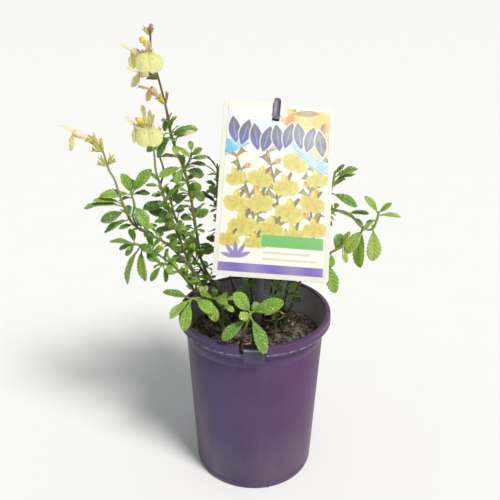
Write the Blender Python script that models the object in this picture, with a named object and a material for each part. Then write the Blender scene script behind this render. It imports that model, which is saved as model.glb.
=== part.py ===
"""A salvia in flower, growing in its nursery pot, with a picture label clipped to the rim.

The origin is the centre of the pot's base, +Z is up, and the side of the rim that holds the
label faces -Y. The plan of the plant is kept in millimetres and made into metres where the
meshes are written.
"""
import math
import random
from dataclasses import dataclass

import bmesh
import bpy
from mathutils import Matrix, Vector, noise
from mathutils.bvhtree import BVHTree

MM = 0.001
GAP = 0.35

# Pot
POT_HEIGHT = 165.0
RIM_RADIUS = 70.0
RIM_WIDTH = 4.4
SKIRT_DROP = 8.5
BASE_RADIUS = 56.5
WALL_TAPER = 8.1 / POT_HEIGHT
WALL = 1.4
FLOOR = 2.4
COLLAR_DROP = 16.0
COLLAR_FLARE = 3.0
POT_SIDES = 40
DRAIN_HOLES = 6
DRAIN_RADIUS = 4.0
DRAIN_CIRCLE = 36.0

# Notch in the rim for the label's clip
NOTCH_CENTRE = -1.5
NOTCH_WIDTH = 22.5

# Soil
SOIL_LEVEL = 138.0
SOIL_RELIEF = 1.8
SOIL_RINGS = (0.2, 0.42, 0.64, 0.84)
ROOT_DEPTH = 18.0

# Label: a card that leans back on its stake
LEAN = math.radians(34.0)
TURN = math.radians(7.2)
TILT = math.radians(6.9)
CARD_WIDTH = 100.0
CARD_HEIGHT = 158.6
CARD_CORNER = 2.5
CARD_THICK = 0.8
CARD_MIDDLE = (27.2, 138.9)
STAKE_FOOT = (-10.2, -141.5)
STAKE_TOP = (-2.2, 84.0)
STAKE_WIDTH = 6.5
STAKE_THICK = 2.0
STAKE_TIP = 19.0
SLOT_WIDTH = 10.0
SLOT_HEIGHT = 4.5
CLIP_WIDTH = 17.7
CLIP_TOP = 162.6
CLIP_FOOT = 149.2
CLIP_THICK = 1.8
CLIP_REACH = 69.6

# Plant
BLADE_THICK = 0.8
STALK_SHARE = 0.15
STALK_HALF_WIDTH = 0.95
STALK_DEPTH = 1.15
STEM_STEP = 13.0
LEAF_CLEARANCE = 0.9
SEED = 20


@dataclass(frozen=True)
class Stem:
    """One main stem: its route from the soil, its thickness, and what grows on it.

    A leaf is (place along the stem, turn, rise, length, width, roll) and a calyx is (place,
    turn, rise, length, radius), with places from 0 to 1, angles in degrees and sizes in mm.
    """

    name: str
    route: tuple
    thick: tuple = (1.6, 0.8)
    leaves: tuple = ()
    calyces: tuple = ()
    side: tuple = ()
    side_leaves: tuple = ()
    side_calyces: tuple = ()
    pairs: tuple = ()


@dataclass(frozen=True)
class Bloom:
    """A flower seated in a calyx: place on the stem, direction, hood's rise and lip's rise."""

    name: str
    stem: str
    at: float
    turn: float
    rise: float
    hood: float
    lip: float
    lip_width: float
    lip_height: float
    calyx: tuple = (10.0, 3.3)
    tube: float = 10.0
    hood_length: float = 12.0


@dataclass(frozen=True)
class Bud:
    """An unopened yellow flower seated in a calyx."""

    name: str
    stem: str
    at: float
    turn: float
    rise: float
    length: float = 5.5
    calyx: tuple = (7.5, 2.9)


STEMS = (
    Stem(
        "stem_spike_a",
        ((-12, 14, 140), (-46, 15, 196), (-53, 14, 234), (-57, 12, 270), (-62, 12, 294),
         (-68, 12, 311), (-72, 12, 326), (-74, 12, 342), (-77, 12, 358), (-80, 10, 373),
         (-84, 9, 389), (-83.5, 8, 409)),
        leaves=(
            (0.75, -125, -70, 13, 5, -25), (0.71, -70, 70, 17, 6, 15), (0.70, 10, 5, 23, 8, 35),
            (0.69, -25, 25, 16, 6, 65), (0.69, -160, -30, 25, 9, -40), (0.69, 175, -20, 22, 8, -20),
            (0.66, -25, -30, 16, 5, 20), (0.62, -175, 0, 18, 6, -20),
            (0.59, -165, -25, 23, 8, -45), (0.59, -120, -45, 17, 7, -35), (0.58, 20, -20, 19, 9, 65),
            (0.54, -155, -20, 14, 5, -45), (0.51, 25, -35, 17, 8, 70), (0.50, 150, -35, 20, 7, -60),
            (0.42, -15, 30, 16, 8, 65), (0.41, 150, 5, 15, 7, -45), (0.33, -25, -15, 17, 8, 45),
            (0.32, 145, -50, 22, 8, -60),
        ),
        calyces=(
            (0.995, -60, 60, 6, 1.7), (0.995, 60, 65, 6, 1.6), (0.98, -150, 50, 10, 1.6),
            (0.985, 170, 72, 7, 1.6), (0.985, -10, 68, 7, 1.6),
            (0.872, -145, 50, 10, 2.4), (0.78, -45, 75, 13, 1.5),
        ),
        side=((-62, 12, 294), (-57, 9, 301), (-54, 6, 310)),
        side_leaves=(
            (0.83, -20, 35, 13, 6, 70), (0.63, 10, 5, 14, 5, 40), (0.32, 15, -5, 16, 5, 30),
            (0.97, 100, 45, 12, 5, 0),
        ),
        pairs=((0.47, 75.0),),
    ),
    Stem(
        "stem_spike_b",
        ((-20, 4, 140), (-54, 4, 196), (-67, 4, 231), (-76, 5, 259), (-82, 5, 281), (-85, 4, 295),
         (-85, 2, 307), (-86, 2, 322), (-87, 2, 334)),
        leaves=(
            (0.76, -135, 60, 12, 4, -60),
            (0.74, -160, 10, 13, 4, -35), (0.70, -150, 10, 11, 4, -60), (0.68, -20, 45, 16, 5, 55),
            (0.62, 150, -35, 15, 6, -60), (0.52, -140, -50, 14, 6, -35),
        ),
        calyces=((0.995, -90, 85, 14, 1.9), (0.98, 60, 75, 14, 1.9)),
        side=((-82, 5, 281), (-79, 8, 294), (-83, 12, 308), (-85, 16, 321)),
        side_calyces=((0.985, 0, 65, 11, 1.6), (0.84, 15, 55, 12, 1.6), (0.99, 130, 60, 11, 1.7)),
        pairs=((0.45, 60.0),),
    ),
    Stem(
        "stem_spike_c",
        ((-26, -8, 140), (-52, -6, 198), (-73, -4, 226), (-92, -2, 238), (-102, -6, 246),
         (-107, -8, 253), (-112, -10, 268), (-116, -10, 284), (-118, -10, 292), (-122, -10, 300),
         (-125, -10, 314), (-130, -10, 323)),
        leaves=(
            (0.74, -170, 10, 25, 8, -15), (0.73, -170, 0, 33, 9, -5), (0.71, -150, -15, 23, 9, -55),
            (0.67, -165, -25, 25, 8, -25),
        ),
        calyces=(
            (0.975, -160, 65, 14, 2.2), (0.95, 125, 75, 13, 1.9), (0.955, -165, 50, 13, 1.9),
            (0.96, -125, 20, 12, 2.0), (0.90, -160, 55, 11, 1.9), (0.90, -130, 25, 12, 2.0),
            (0.90, 25, 65, 11, 2.1), (0.905, -25, 30, 11, 1.9),
        ),
        side=((-102, -6, 246), (-106, -4, 256), (-104, -3, 266), (-106, -3, 276)),
        side_leaves=(
            (0.99, -165, -5, 27, 9, -40), (0.99, -165, 70, 20, 9, -60), (0.99, 10, 40, 29, 10, 60),
            (0.98, 30, -5, 17, 6, 30),
            (0.90, 155, -20, 16, 5, -30), (0.68, -40, -45, 22, 11, 25), (0.99, 100, 30, 18, 7, 0),
        ),
    ),
    Stem(
        "stem_low_left",
        ((-28, -2, 140), (-57, -8, 190), (-73, -14, 215), (-88, -18, 229), (-97, -22, 236),
         (-103, -24, 239)),
        thick=(1.5, 0.8),
        leaves=(
            (0.99, -125, 75, 16, 6, 35), (0.99, -170, 10, 21, 7, -15), (0.99, -130, -35, 13, 5, -35),
            (0.98, 170, -20, 17, 6, -25), (0.98, -25, -10, 18, 8, 40), (0.95, -145, -65, 36, 10, 0),
            (0.94, -75, -70, 30, 10, 40), (0.89, -60, -30, 14, 9, 10), (0.87, -95, 75, 17, 6, -10),
            (0.85, -45, 30, 12, 7, 60),
        ),
        side=((-73, -14, 215), (-77, -18, 217), (-81, -20, 217)),
        side_leaves=(
            (0.98, -145, 50, 12, 4, -60), (0.98, -140, -45, 17, 6, -30), (0.87, -55, -75, 16, 6, -20),
            (0.67, -30, 75, 17, 6, 60), (0.60, 10, 30, 12, 4, 25),
        ),
        pairs=((0.5, 100.0),),
    ),
    Stem(
        "stem_mid_left",
        ((-16, 24, 140), (-55, 24, 200), (-65, 22, 225), (-73, 20, 248), (-76, 18, 267)),
        thick=(1.5, 0.8),
        leaves=(
            (0.97, -30, 20, 16, 8, 60), (0.95, -160, -5, 26, 9, -35), (0.84, -165, 20, 26, 9, -50),
            (0.89, -30, 30, 13, 5, 60), (0.92, -145, -45, 19, 7, -40), (0.79, -140, 15, 12, 5, -60),
            (0.76, -165, 0, 23, 8, -15), (0.71, -150, 5, 17, 6, -50),
            (0.64, -160, 10, 18, 6, -15), (0.61, -140, -10, 13, 7, -45),
            (0.98, 155, 65, 13, 5, -40), (0.97, 30, 55, 13, 5, 45),
        ),
        pairs=((0.52, 80.0),),
    ),
    Stem(
        "stem_rim_left",
        ((-30, -14, 140), (-29, -24, 182), (-43, -33, 192), (-55, -40, 195)),
        thick=(1.3, 0.8),
        leaves=(
            (0.99, -170, 20, 25, 8, -30), (0.98, -155, -35, 25, 8, -25), (0.99, -120, -55, 28, 10, -10),
            (0.95, -25, -25, 21, 11, 35), (0.83, -40, -50, 23, 10, 25), (0.68, -30, -25, 14, 7, 35),
            (0.8, 110, 10, 18, 7, 0), (0.62, 80, -35, 20, 7, 0),
        ),
    ),
    Stem(
        "stem_front",
        ((-14, -38, 140), (-11, -51, 163), (-5, -59, 186), (-3, -62, 195)),
        thick=(1.4, 0.9),
        leaves=(
            (0.98, -170, 55, 24, 12, -65), (0.98, -10, 25, 30, 12, 50), (0.98, 35, 35, 11, 8, 40),
            (0.97, -140, 0, 12, 8, -40), (0.87, -160, -35, 29, 10, -30), (0.93, -50, -55, 34, 12, 10),

        ),
    ),
    Stem(
        "sprout",
        ((19, 2, 140), (19.5, 1, 149)),
        thick=(0.9, 0.7),
        leaves=((0.96, -80, 40, 14, 12, 0), (0.93, 100, 30, 8, 5, 0)),
    ),
    Stem(
        "stem_inner",
        ((18, -12, 140), (20, -12, 160), (26, -10, 194)),
        thick=(1.2, 0.8),
        leaves=(
            (0.85, -160, 45, 17, 6, -55), (0.89, -10, 30, 16, 5, 55), (0.73, -165, 25, 15, 5, -30),
            (0.81, -5, 0, 19, 7, 5), (0.97, 60, 60, 14, 6, 0), (0.6, 80, 10, 18, 7, 0),
        ),
    ),
    Stem(
        "stem_right_top",
        ((10, 24, 140), (33, 29, 200), (58, 35, 237), (69, 37, 267), (72, 38, 285)),
        leaves=(
            (0.98, -20, 50, 13, 4, 65), (0.96, -10, 25, 23, 8, 20), (0.93, 10, 20, 22, 7, 5),
            (0.87, -10, -25, 28, 10, 40),
            (0.80, 155, 35, 12, 6, -50), (0.70, -25, -15, 14, 7, 50), (0.57, 150, 0, 13, 8, -50),
        ),
    ),
    Stem(
        "stem_right_mid",
        ((22, 10, 140), (41, 15, 221), (58, 18, 252), (81, 13, 254), (94, 8, 243), (103, 6, 241),
         (107, 6, 250), (108, 6, 258)),
        leaves=(
            (0.70, -15, -15, 17, 6, 15), (0.76, -10, -15, 20, 7, 20), (0.79, 15, -40, 15, 5, 50),
            (0.99, -165, 50, 22, 7, -60), (0.99, -10, 45, 15, 5, 60), (0.98, -10, 0, 20, 7, 15),
            (0.96, -160, -35, 16, 5, -5), (0.96, 155, -35, 11, 5, -60), (0.92, -70, -80, 33, 13, 15),
            (0.87, -155, -50, 28, 12, -35), (0.86, 75, -80, 44, 13, -40),
        ),
        pairs=((0.42, 80.0),),
    ),
    Stem(
        "stem_right_low",
        ((26, 0, 140), (46, 2, 203), (63, 2, 217), (79, 0, 228)),
        thick=(1.5, 0.8),
        leaves=(
            (0.98, -45, -75, 15, 5, 20), (0.97, -15, 65, 17, 6, 30), (0.91, 30, 60, 16, 9, 35),
            (0.87, -75, -65, 13, 6, 5), (0.79, -30, -65, 36, 12, 40), (0.92, 20, 45, 17, 6, 0),
        ),
    ),
    Stem(
        "stem_back_left",
        ((-14, 34, 140), (-30, 46, 200), (-36, 56, 245), (-36, 62, 284)),
        thick=(1.5, 0.8),
        pairs=((0.97, 0.0), (0.87, 90.0), (0.74, 0.0), (0.6, 90.0), (0.45, 20.0)),
    ),
    Stem(
        "stem_back_right",
        ((14, 34, 140), (20, 50, 198), (30, 66, 250), (34, 74, 298)),
        pairs=((0.97, 0.0), (0.87, 90.0), (0.74, 0.0), (0.6, 90.0), (0.44, 30.0)),
    ),
    Stem(
        "stem_centre",
        ((2, 10, 140), (-6, 12, 190), (-14, 22, 232), (-20, 30, 268)),
        thick=(1.5, 0.8),
        pairs=((0.97, 60.0), (0.86, 150.0), (0.73, 50.0), (0.58, 140.0)),
    ),
)

BLOOMS = (
    Bloom("bloom_a_front", "stem_spike_a", 0.94, -88, 7, 74, -62, 21.0, 14.5, tube=8.0, hood_length=9.5),
    Bloom("bloom_a_side", "stem_spike_a", 0.925, 165, 12, 35, -72, 15.0, 12.0, tube=7.5),
    Bloom("bloom_a_shade", "stem_spike_a", 0.862, -160, 18, 30, -40, 14.0, 11.0, tube=6.0),
    Bloom("bloom_a_low", "stem_spike_a", 0.785, -158, 50, 20, -50, 9.0, 8.0, tube=8.0),
    Bloom("bloom_b_front", "stem_spike_b", 0.965, -88, 37, 76, -62, 21.5, 15.0, tube=8.0, hood_length=9.5),
    Bloom("bloom_b_side", "stem_spike_b", 0.935, 175, 44, 48, -70, 15.0, 12.0, tube=9.0),
    Bloom("bloom_b_back", "stem_spike_b", 0.978, 128, 45, 75, -50, 11.0, 9.0, (8.0, 2.6), 5.0),
    Bloom("bloom_c_side", "stem_spike_c", 0.995, -165, 30, 40, -60, 16.0, 13.0),
)

BUDS = (
    Bud("bud_a", "stem_spike_a", 0.945, -155, 48),
    Bud("bud_b", "stem_spike_b", 0.99, -168, 36, 7.0, (8.0, 2.9)),
)

FINISHES = {
    "pot_plastic": ((0.135, 0.072, 0.185), 0.45),
    "soil_mix": ((0.035, 0.024, 0.018), 0.95),
    "card_print": ((0.86, 0.85, 0.78), 0.4),
    "stake_plastic": ((0.17, 0.15, 0.24), 0.4),
    "leaf_green": ((0.16, 0.34, 0.06), 0.45),
    "petal_cream": ((0.90, 0.84, 0.40), 0.6),
    "bud_yellow": ((0.90, 0.66, 0.10), 0.55),
}


def finish(name):
    """Returns the Principled material of that name, made on first use."""
    material = bpy.data.materials.get(name)
    if material is None:
        colour, roughness = FINISHES[name]
        material = bpy.data.materials.new(name)
        material.use_nodes = True
        shader = material.node_tree.nodes["Principled BSDF"]
        shader.inputs["Base Color"].default_value = (*colour, 1.0)
        shader.inputs["Roughness"].default_value = roughness
    return material


def make_object(name, points, faces, finish_name):
    """Adds a mesh object whose points are given in millimetres."""
    mesh = bpy.data.meshes.new(name)
    mesh.from_pydata([tuple(Vector(p) * MM) for p in points], [], faces)
    mesh.update()
    thing = bpy.data.objects.new(name, mesh)
    thing.data.materials.append(finish(finish_name))
    bpy.context.scene.collection.objects.link(thing)
    return thing


def apply_modifiers(thing):
    """Replaces an object's mesh by what its modifiers make of it."""
    graph = bpy.context.evaluated_depsgraph_get()
    mesh = bpy.data.meshes.new_from_object(thing.evaluated_get(graph))
    thing.modifiers.clear()
    thing.data = mesh


def boolean(thing, cutters, operation, solver="EXACT"):
    """Joins or cuts an object with others through one collection, which is then removed."""
    group = bpy.data.collections.new("tools")
    bpy.context.scene.collection.children.link(group)
    for cutter in cutters:
        bpy.context.scene.collection.objects.unlink(cutter)
        group.objects.link(cutter)
    step = thing.modifiers.new("joined", "BOOLEAN")
    step.operation = operation
    step.operand_type = "COLLECTION"
    step.collection = group
    step.solver = solver
    apply_modifiers(thing)
    for cutter in cutters:
        bpy.data.objects.remove(cutter)
    bpy.data.collections.remove(group)


def smooth_route(route, step):
    """Points about every step mm along a Catmull-Rom curve through the route."""
    knots = [Vector(p) for p in route]
    knots = [2 * knots[0] - knots[1], *knots, 2 * knots[-1] - knots[-2]]
    fine = []
    for a, b, c, d in zip(knots, knots[1:], knots[2:], knots[3:]):
        for k in range(16):
            t = k / 16
            fine.append(0.5 * (2 * b + (c - a) * t + (2 * a - 5 * b + 4 * c - d) * t * t
                               + (3 * b - a - 3 * c + d) * t ** 3))
    fine.append(knots[-2])
    lengths = [0.0]
    for p, q in zip(fine, fine[1:]):
        lengths.append(lengths[-1] + (q - p).length)
    count = max(1, round(lengths[-1] / step))
    points, place = [], 0
    for k in range(count + 1):
        target = lengths[-1] * k / count
        while place < len(fine) - 2 and lengths[place + 1] < target:
            place += 1
        share = (target - lengths[place]) / (lengths[place + 1] - lengths[place])
        points.append(fine[place].lerp(fine[place + 1], min(1.0, share)))
    return points


def along(points, share):
    """The point at a share of the way along evenly spaced points."""
    place = share * (len(points) - 1)
    low = min(int(place), len(points) - 2)
    return points[low].lerp(points[low + 1], place - low)


def heading(turn, rise):
    """Unit vector that points turn degrees round from +X and rise degrees up, and its normal."""
    a, e = math.radians(turn), math.radians(rise)
    forward = Vector((math.cos(a) * math.cos(e), math.sin(a) * math.cos(e), math.sin(e)))
    upward = Vector((-math.cos(a) * math.sin(e), -math.sin(a) * math.sin(e), math.cos(e)))
    return forward, upward


def rolled(forward, upward, roll):
    """The normal after a roll about forward, in degrees."""
    r = math.radians(roll)
    return upward * math.cos(r) + forward.cross(upward) * math.sin(r)


def tube(points, first, last, sides=4):
    """Closed stem round a line of points: (points, triangles)."""
    verts, tris = [], []
    previous = None
    for k, centre in enumerate(points):
        ahead = points[min(k + 1, len(points) - 1)] - points[max(k - 1, 0)]
        ahead.normalize()
        if previous is None:
            previous = ahead.orthogonal().normalized()
        across = (previous - ahead * previous.dot(ahead)).normalized()
        previous = across
        radius = first + (last - first) * k / (len(points) - 1)
        for j in range(sides):
            a = 2 * math.pi * j / sides
            verts.append(centre + radius * (math.cos(a) * across + math.sin(a) * ahead.cross(across)))
    for k in range(len(points) - 1):
        for j in range(sides):
            a, b = k * sides + j, k * sides + (j + 1) % sides
            tris += [(a, b, b + sides), (a, b + sides, a + sides)]
    top = (len(points) - 1) * sides
    for j in range(1, sides - 1):
        tris += [(0, j + 1, j), (top, top + j, top + j + 1)]
    return verts, tris


def shell(upper, tris, normals, thickness, foot=None):
    """Closes a sheet of triangles into a blade, by a lower sheet of the same triangles.

    Where a foot is given, the sheet's first three points open on to a cone that ends there.
    """
    count = len(upper)
    verts = list(upper) + [p - n * h for p, n, h in zip(upper, normals, thickness)]
    faces = list(tris) + [(c + count, b + count, a + count) for a, b, c in tris]
    edges = {(a, b) for t in tris for a, b in ((t[0], t[1]), (t[1], t[2]), (t[2], t[0]))}
    for a, b in sorted(edges):
        if (b, a) not in edges and not (foot and a < 3 and b < 3):
            faces += [(a + count, b + count, b), (a + count, b, a)]
    if foot:
        edges = {(t[k], t[(k + 1) % 3]) for t in faces for k in range(3)}
        verts.append(foot)
        faces += [(b, a, len(verts) - 1) for a, b in sorted(edges) if (b, a) not in edges]
    return verts, faces


def blade(base, forward, normal, length, width, teeth, cut=0.12, bend=40.0, fold=0.16,
          thick=BLADE_THICK, stalk=STALK_SHARE):
    """A leaf or petal blade on its stalk: midrib, arched along its length, and cut edges.

    Each tooth stands out from the line between two notches. The first stretch is the stalk,
    a narrow cone whose point is inside what bears it.
    """
    side = forward.cross(normal)
    half_bend = math.radians(bend) / 2
    arc = length / (2 * math.sin(half_bend))

    def at(share, across):
        """Point and normal at a share of the length, out to one side."""
        angle = half_bend * (1 - 2 * share)
        ahead = length / 2 - arc * math.sin(angle)
        lift = arc * (math.cos(angle) - math.cos(half_bend))
        up = normal * math.cos(angle) - forward * math.sin(angle)
        centre = base + forward * ahead + normal * lift
        return centre + side * across + up * (abs(across) * fold), up

    def half_width(share):
        s = (share - stalk) / (1 - stalk)
        return width / 2 * max(0.0, math.sin(math.pi * s ** 1.3)) ** 0.6

    rows, points, normals, deep = [], [], [], []

    def add(share, across, depth):
        point, up = at(share, across)
        points.append(point)
        normals.append(up)
        deep.append(depth)
        return len(points) - 1

    rows.append([add(stalk, w, STALK_DEPTH) for w in (-STALK_HALF_WIDTH, 0.0, STALK_HALF_WIDTH)])
    for k in range(1, teeth):
        share = stalk + (1 - stalk) * k / teeth
        reach = half_width(share) * (1 - cut)
        rows.append([add(share, w, thick) for w in (-reach, 0.0, reach)])
    tip = add(1.0, 0.0, thick)
    tris = []
    for low, high in zip(rows, rows[1:]):
        tris += [(low[1], low[2], high[2]), (low[1], high[2], high[1]),
                 (low[1], high[0], low[0]), (low[1], high[1], high[0])]
    last = rows[-1]
    tris += [(last[1], last[2], tip), (last[1], tip, last[0])]
    for k, low in enumerate(rows):
        high = rows[k + 1] if k + 1 < len(rows) else [tip, tip, tip]
        share = stalk + (1 - stalk) * (k + 0.6) / teeth
        reach = half_width(share) * (1 + cut * 0.4)
        left, right = add(share, -reach, thick), add(share, reach, thick)
        tris += [(low[2], right, high[2]), (low[0], high[0], left)]
    foot = base - forward * 0.3 - normal * (STALK_DEPTH / 2)
    return shell(points, tris, normals, deep, foot)


def cup(base, forward, normal, length, radius, plain=False):
    """A calyx: a hollow bell with three points round its mouth, or a plainer one in bud."""
    side = forward.cross(normal)
    verts = [base - forward * 0.3, base + forward * 0.3 * length]

    def ring(ahead, round_radius, lobe=0.0):
        for j in range(6):
            a = math.pi * j / 3
            point = j % 2 == 0
            r = round_radius * (1.12 if lobe and point else 1.0)
            verts.append(base + forward * (ahead + lobe * point)
                         + r * (math.cos(a) * normal + math.sin(a) * side))

    if not plain:
        ring(0.42 * length, 0.82 * radius)
    ring(0.78 * length, radius, 0.22 * length)
    ring(0.78 * length, radius - 0.75, 0.22 * length)
    tris = []
    inner = len(verts) - 6
    for j in range(6):
        k = (j + 1) % 6
        tris += [(0, 2 + k, 2 + j), (1, inner + j, inner + k)]
        for band in range(2, inner, 6):
            tris += [(band + j, band + k, band + k + 6), (band + j, band + k + 6, band + j + 6)]
    return verts, tris


def turned(base, forward, normal, rings, tip, sides=6):
    """A closed body turned about forward: a point, rings of (ahead, radius), and an end point."""
    side = forward.cross(normal)
    (start, _), body = rings[0], rings[1:]
    verts = [base + forward * start]
    for ahead, radius in body:
        for j in range(sides):
            a = 2 * math.pi * j / sides
            verts.append(base + forward * ahead
                         + radius * (math.cos(a) * normal + math.sin(a) * side))
    verts.append(base + forward * tip)
    end = len(verts) - 1
    tris = []
    for j in range(sides):
        k = (j + 1) % sides
        tris.append((0, 1 + k, 1 + j))
        for band in range(len(body) - 1):
            a, b = 1 + band * sides + j, 1 + band * sides + k
            tris += [(a, b, b + sides), (a, b + sides, a + sides)]
        top = 1 + (len(body) - 1) * sides
        tris.append((top + j, top + k, end))
    return verts, tris


def lip(throat, down, face, width, height):
    """The lower lip: two broad rounded lobes with a notch between them, on a narrow throat."""
    side = down.cross(face)
    neck, edge = 1.6 / width, ((0.30, 0.03), (0.49, 0.30), (0.49, 0.62), (0.36, 0.90), (0.14, 1.0))
    flat = [(-neck, 0.0, 0.0), (0.0, 0.0, 0.0), (neck, 0.0, 0.0), (0.0, 0.48, 0.0), (0.0, 0.86, 0.0)]
    for hand in (-1, 1):
        flat.append((hand * 0.26, 0.48, 0.10))
        flat += [(hand * x, y, 0.0) for x, y in edge]
    tris = []
    for first, root in ((5, 0), (11, 2)):
        rim = [1, root, *range(first + 1, first + 6), 4, 3]
        for a, b in zip(rim, rim[1:] + rim[:1]):
            tris.append((first, b, a) if first == 5 else (first, a, b))
    upper = []
    for x, y, swell in flat:
        back = 3.2 * (2 * x) ** 2 + 3.0 * y * y
        upper.append(throat + side * (x * width) + down * (y * height) + face * (swell * height - back))
    return shell(upper, tris, [face] * len(upper), [BLADE_THICK] * len(upper),
                 throat - down * 2.4 - face * 1.6)


def tail_rings(length):
    """The hidden end of a flower, which sits clear inside its calyx."""
    return [(0.3 * length + 1.6, 0.0), (0.78 * length, 1.25), (length + 0.6, 1.7)]


def bloom_bodies(bloom, base):
    """The corolla's bodies: tube, hood and lip."""
    forward, normal = heading(bloom.turn, bloom.rise)
    throat = bloom.calyx[0] + bloom.tube
    rings = tail_rings(bloom.calyx[0]) + [(throat - 0.55 * bloom.tube, 3.4), (throat, 2.9)]
    tube_body = turned(base, forward, normal, rings, throat - 1.6)
    mouth = base + forward * (throat - 1.2)
    hood_ahead, hood_up = heading(bloom.turn, bloom.hood)
    hood_body = blade(mouth - hood_ahead * 0.4, hood_ahead, hood_up, bloom.hood_length, 5.6, 2,
                      cut=0.0, bend=35.0, fold=-0.55, thick=1.1, stalk=0.28)
    down, face = heading(bloom.turn, bloom.lip)
    lip_body = lip(mouth + down * 2.0 + face * 1.4, down, face, bloom.lip_width, bloom.lip_height)
    return [tube_body, hood_body, lip_body]


def bud_bodies(bud, base):
    """A closed flower: its petals wrapped into a blunt point."""
    forward, normal = heading(bud.turn, bud.rise)
    start = bud.calyx[0]
    rings = tail_rings(start) + [(start + 0.35 * bud.length, 3.1), (start + 0.75 * bud.length, 2.5)]
    return [turned(base, forward, normal, rings, start + bud.length)]


class Thicket:
    """Keeps every body placed so far, and answers whether a new one would touch another."""

    def __init__(self):
        self.bodies = []

    def add(self, owner, body):
        """Keeps a body under its owner's name."""
        verts, tris = body
        low = Vector(map(min, zip(*verts)))
        high = Vector(map(max, zip(*verts)))
        self.bodies.append((owner, BVHTree.FromPolygons(verts, tris), low, high))

    def clear(self, body, ignore=()):
        """True if the body touches nothing but what belongs to the ignored owners."""
        verts, tris = body
        low = Vector(map(min, zip(*verts)))
        high = Vector(map(max, zip(*verts)))
        tree = BVHTree.FromPolygons(verts, tris)
        for owner, other, other_low, other_high in self.bodies:
            if owner in ignore:
                continue
            if any(low[i] > other_high[i] or other_low[i] > high[i] for i in range(3)):
                continue
            if tree.overlap(other):
                return False
        return True


def leaf_teeth(length):
    """Teeth on each side of a leaf of that length."""
    if length >= 26:
        return 3
    return 2 if length >= 13 else 1


def leaf_body(base, turn, rise, length, width, roll):
    """The leaf, with its stalk's foot sunk in the stem."""
    forward, upward = heading(turn, rise)
    normal = rolled(forward, upward, roll)
    return blade(base, forward, normal, length, width, leaf_teeth(length))


def leaf_room(base, turn, rise, length, width, roll):
    """The space that a leaf needs, beyond the foot of its stalk."""
    forward, upward = heading(turn, rise)
    normal = rolled(forward, upward, roll)
    foot = base + forward * (0.16 * length) + normal * LEAF_CLEARANCE
    return blade(foot, forward, normal, 0.84 * length + 1.0, width + 1.6, 2, cut=0.0,
                 thick=BLADE_THICK + 2 * LEAF_CLEARANCE, stalk=0.1)


BENDS = [(0, 0, 0)] + [(turn, rise, roll)
                       for size in (10, 20, 32)
                       for turn, rise, roll in ((size, 0, 0), (-size, 0, 0), (0, size, 0), (0, -size, 0),
                                                (size, size, 0), (-size, size, 0), (size, -size, 0),
                                                (-size, -size, 0), (0, 0, 2 * size), (0, 0, -2 * size))]


def place_leaf(thicket, owner, base, leaf, ignore):
    """Bends a leaf clear of everything placed before it, or leaves it out.

    Args:
        leaf: (turn, rise, length, width, roll).
        ignore: owners that the leaf may touch, which are its own stem's.

    Returns:
        The leaf as placed, or None.
    """
    turn, rise, length, width, roll = leaf
    for shrink in (1.0, 0.8):
        for more_turn, more_rise, more_roll in BENDS:
            trial = (turn + more_turn, max(-85, min(85, rise + more_rise)), length * shrink,
                     width * shrink, roll + more_roll)
            if thicket.clear(leaf_room(base, *trial), ignore):
                thicket.add(owner, leaf_room(base, *trial))
                return trial
    return None


def pair_leaves(stem, draw):
    """The opposite leaves that grow by rule: (place, turn, rise, length, width, roll)."""
    grown = []
    for share, turn in stem.pairs:
        for hand in (0, 180):
            length = draw.uniform(19, 28) * (0.75 if share > 0.94 else 1.0)
            rise = draw.uniform(5, 35) + (25 if share > 0.94 else 0)
            grown.append((share, turn + hand + draw.uniform(-15, 15), rise, length,
                          0.38 * length, draw.uniform(-20, 20)))
    return grown


def stem_line(stem):
    """The main stem's points, from its foot in the soil."""
    foot = Vector(stem.route[0]) - Vector((0, 0, ROOT_DEPTH))
    return smooth_route(stem.route, STEM_STEP), foot


def plan_plant(fixed):
    """Places everything that grows.

    Args:
        fixed: bodies of the pot, soil and label, which nothing may touch.

    Returns:
        (green, coloured): lists of bodies by node name.
    """
    thicket = Thicket()
    for name, body in fixed:
        thicket.add(name, body)
    draw = random.Random(SEED)
    green, coloured, lines = {}, {}, {}
    for stem in STEMS:
        points, foot = stem_line(stem)
        lines[stem.name] = (points, smooth_route(stem.side, 6.0) if stem.side else None)
        bodies = [tube([foot, *points], *stem.thick)]
        if stem.side:
            bodies.append(tube(lines[stem.name][1], stem.thick[1] + 0.1, stem.thick[1]))
        for body in bodies:
            thicket.add(stem.name + ":stem", body)
        green[stem.name] = bodies
    for flower in (*BLOOMS, *BUDS):
        base = along(lines[flower.stem][0], flower.at)
        forward, normal = heading(flower.turn, flower.rise)
        calyx = cup(base, forward, normal, *flower.calyx)
        green[flower.stem].append(calyx)
        thicket.add(flower.stem + ":calyx", calyx)
        make = bloom_bodies if isinstance(flower, Bloom) else bud_bodies
        coloured[flower.name] = make(flower, base)
        for body in coloured[flower.name]:
            thicket.add(flower.name, body)
    for stem in STEMS:
        points, side_points = lines[stem.name]
        for line, rows in ((points, stem.calyces), (side_points, stem.side_calyces)):
            for share, turn, rise, length, radius in rows:
                forward, normal = heading(turn, rise)
                calyx = cup(along(line, share), forward, normal, length, radius, radius < 2.3)
                green[stem.name].append(calyx)
                thicket.add(stem.name + ":calyx", calyx)
    for stem in STEMS:
        points, side_points = lines[stem.name]
        own = (stem.name + ":stem",)
        rows = [(points, row) for row in stem.leaves]
        rows += [(side_points, row) for row in stem.side_leaves]
        rows += [(points, row) for row in pair_leaves(stem, draw)]
        for line, (share, *leaf) in rows:
            base = along(line, share)
            placed = place_leaf(thicket, stem.name + ":leaf", base, leaf, own)
            if placed:
                green[stem.name].append(leaf_body(base, *placed))
            else:
                print("left out", stem.name, share, leaf)
    return green, coloured


def wall_radius(height):
    """Radius of the pot's straight wall at a height."""
    return BASE_RADIUS + WALL_TAPER * height


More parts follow.
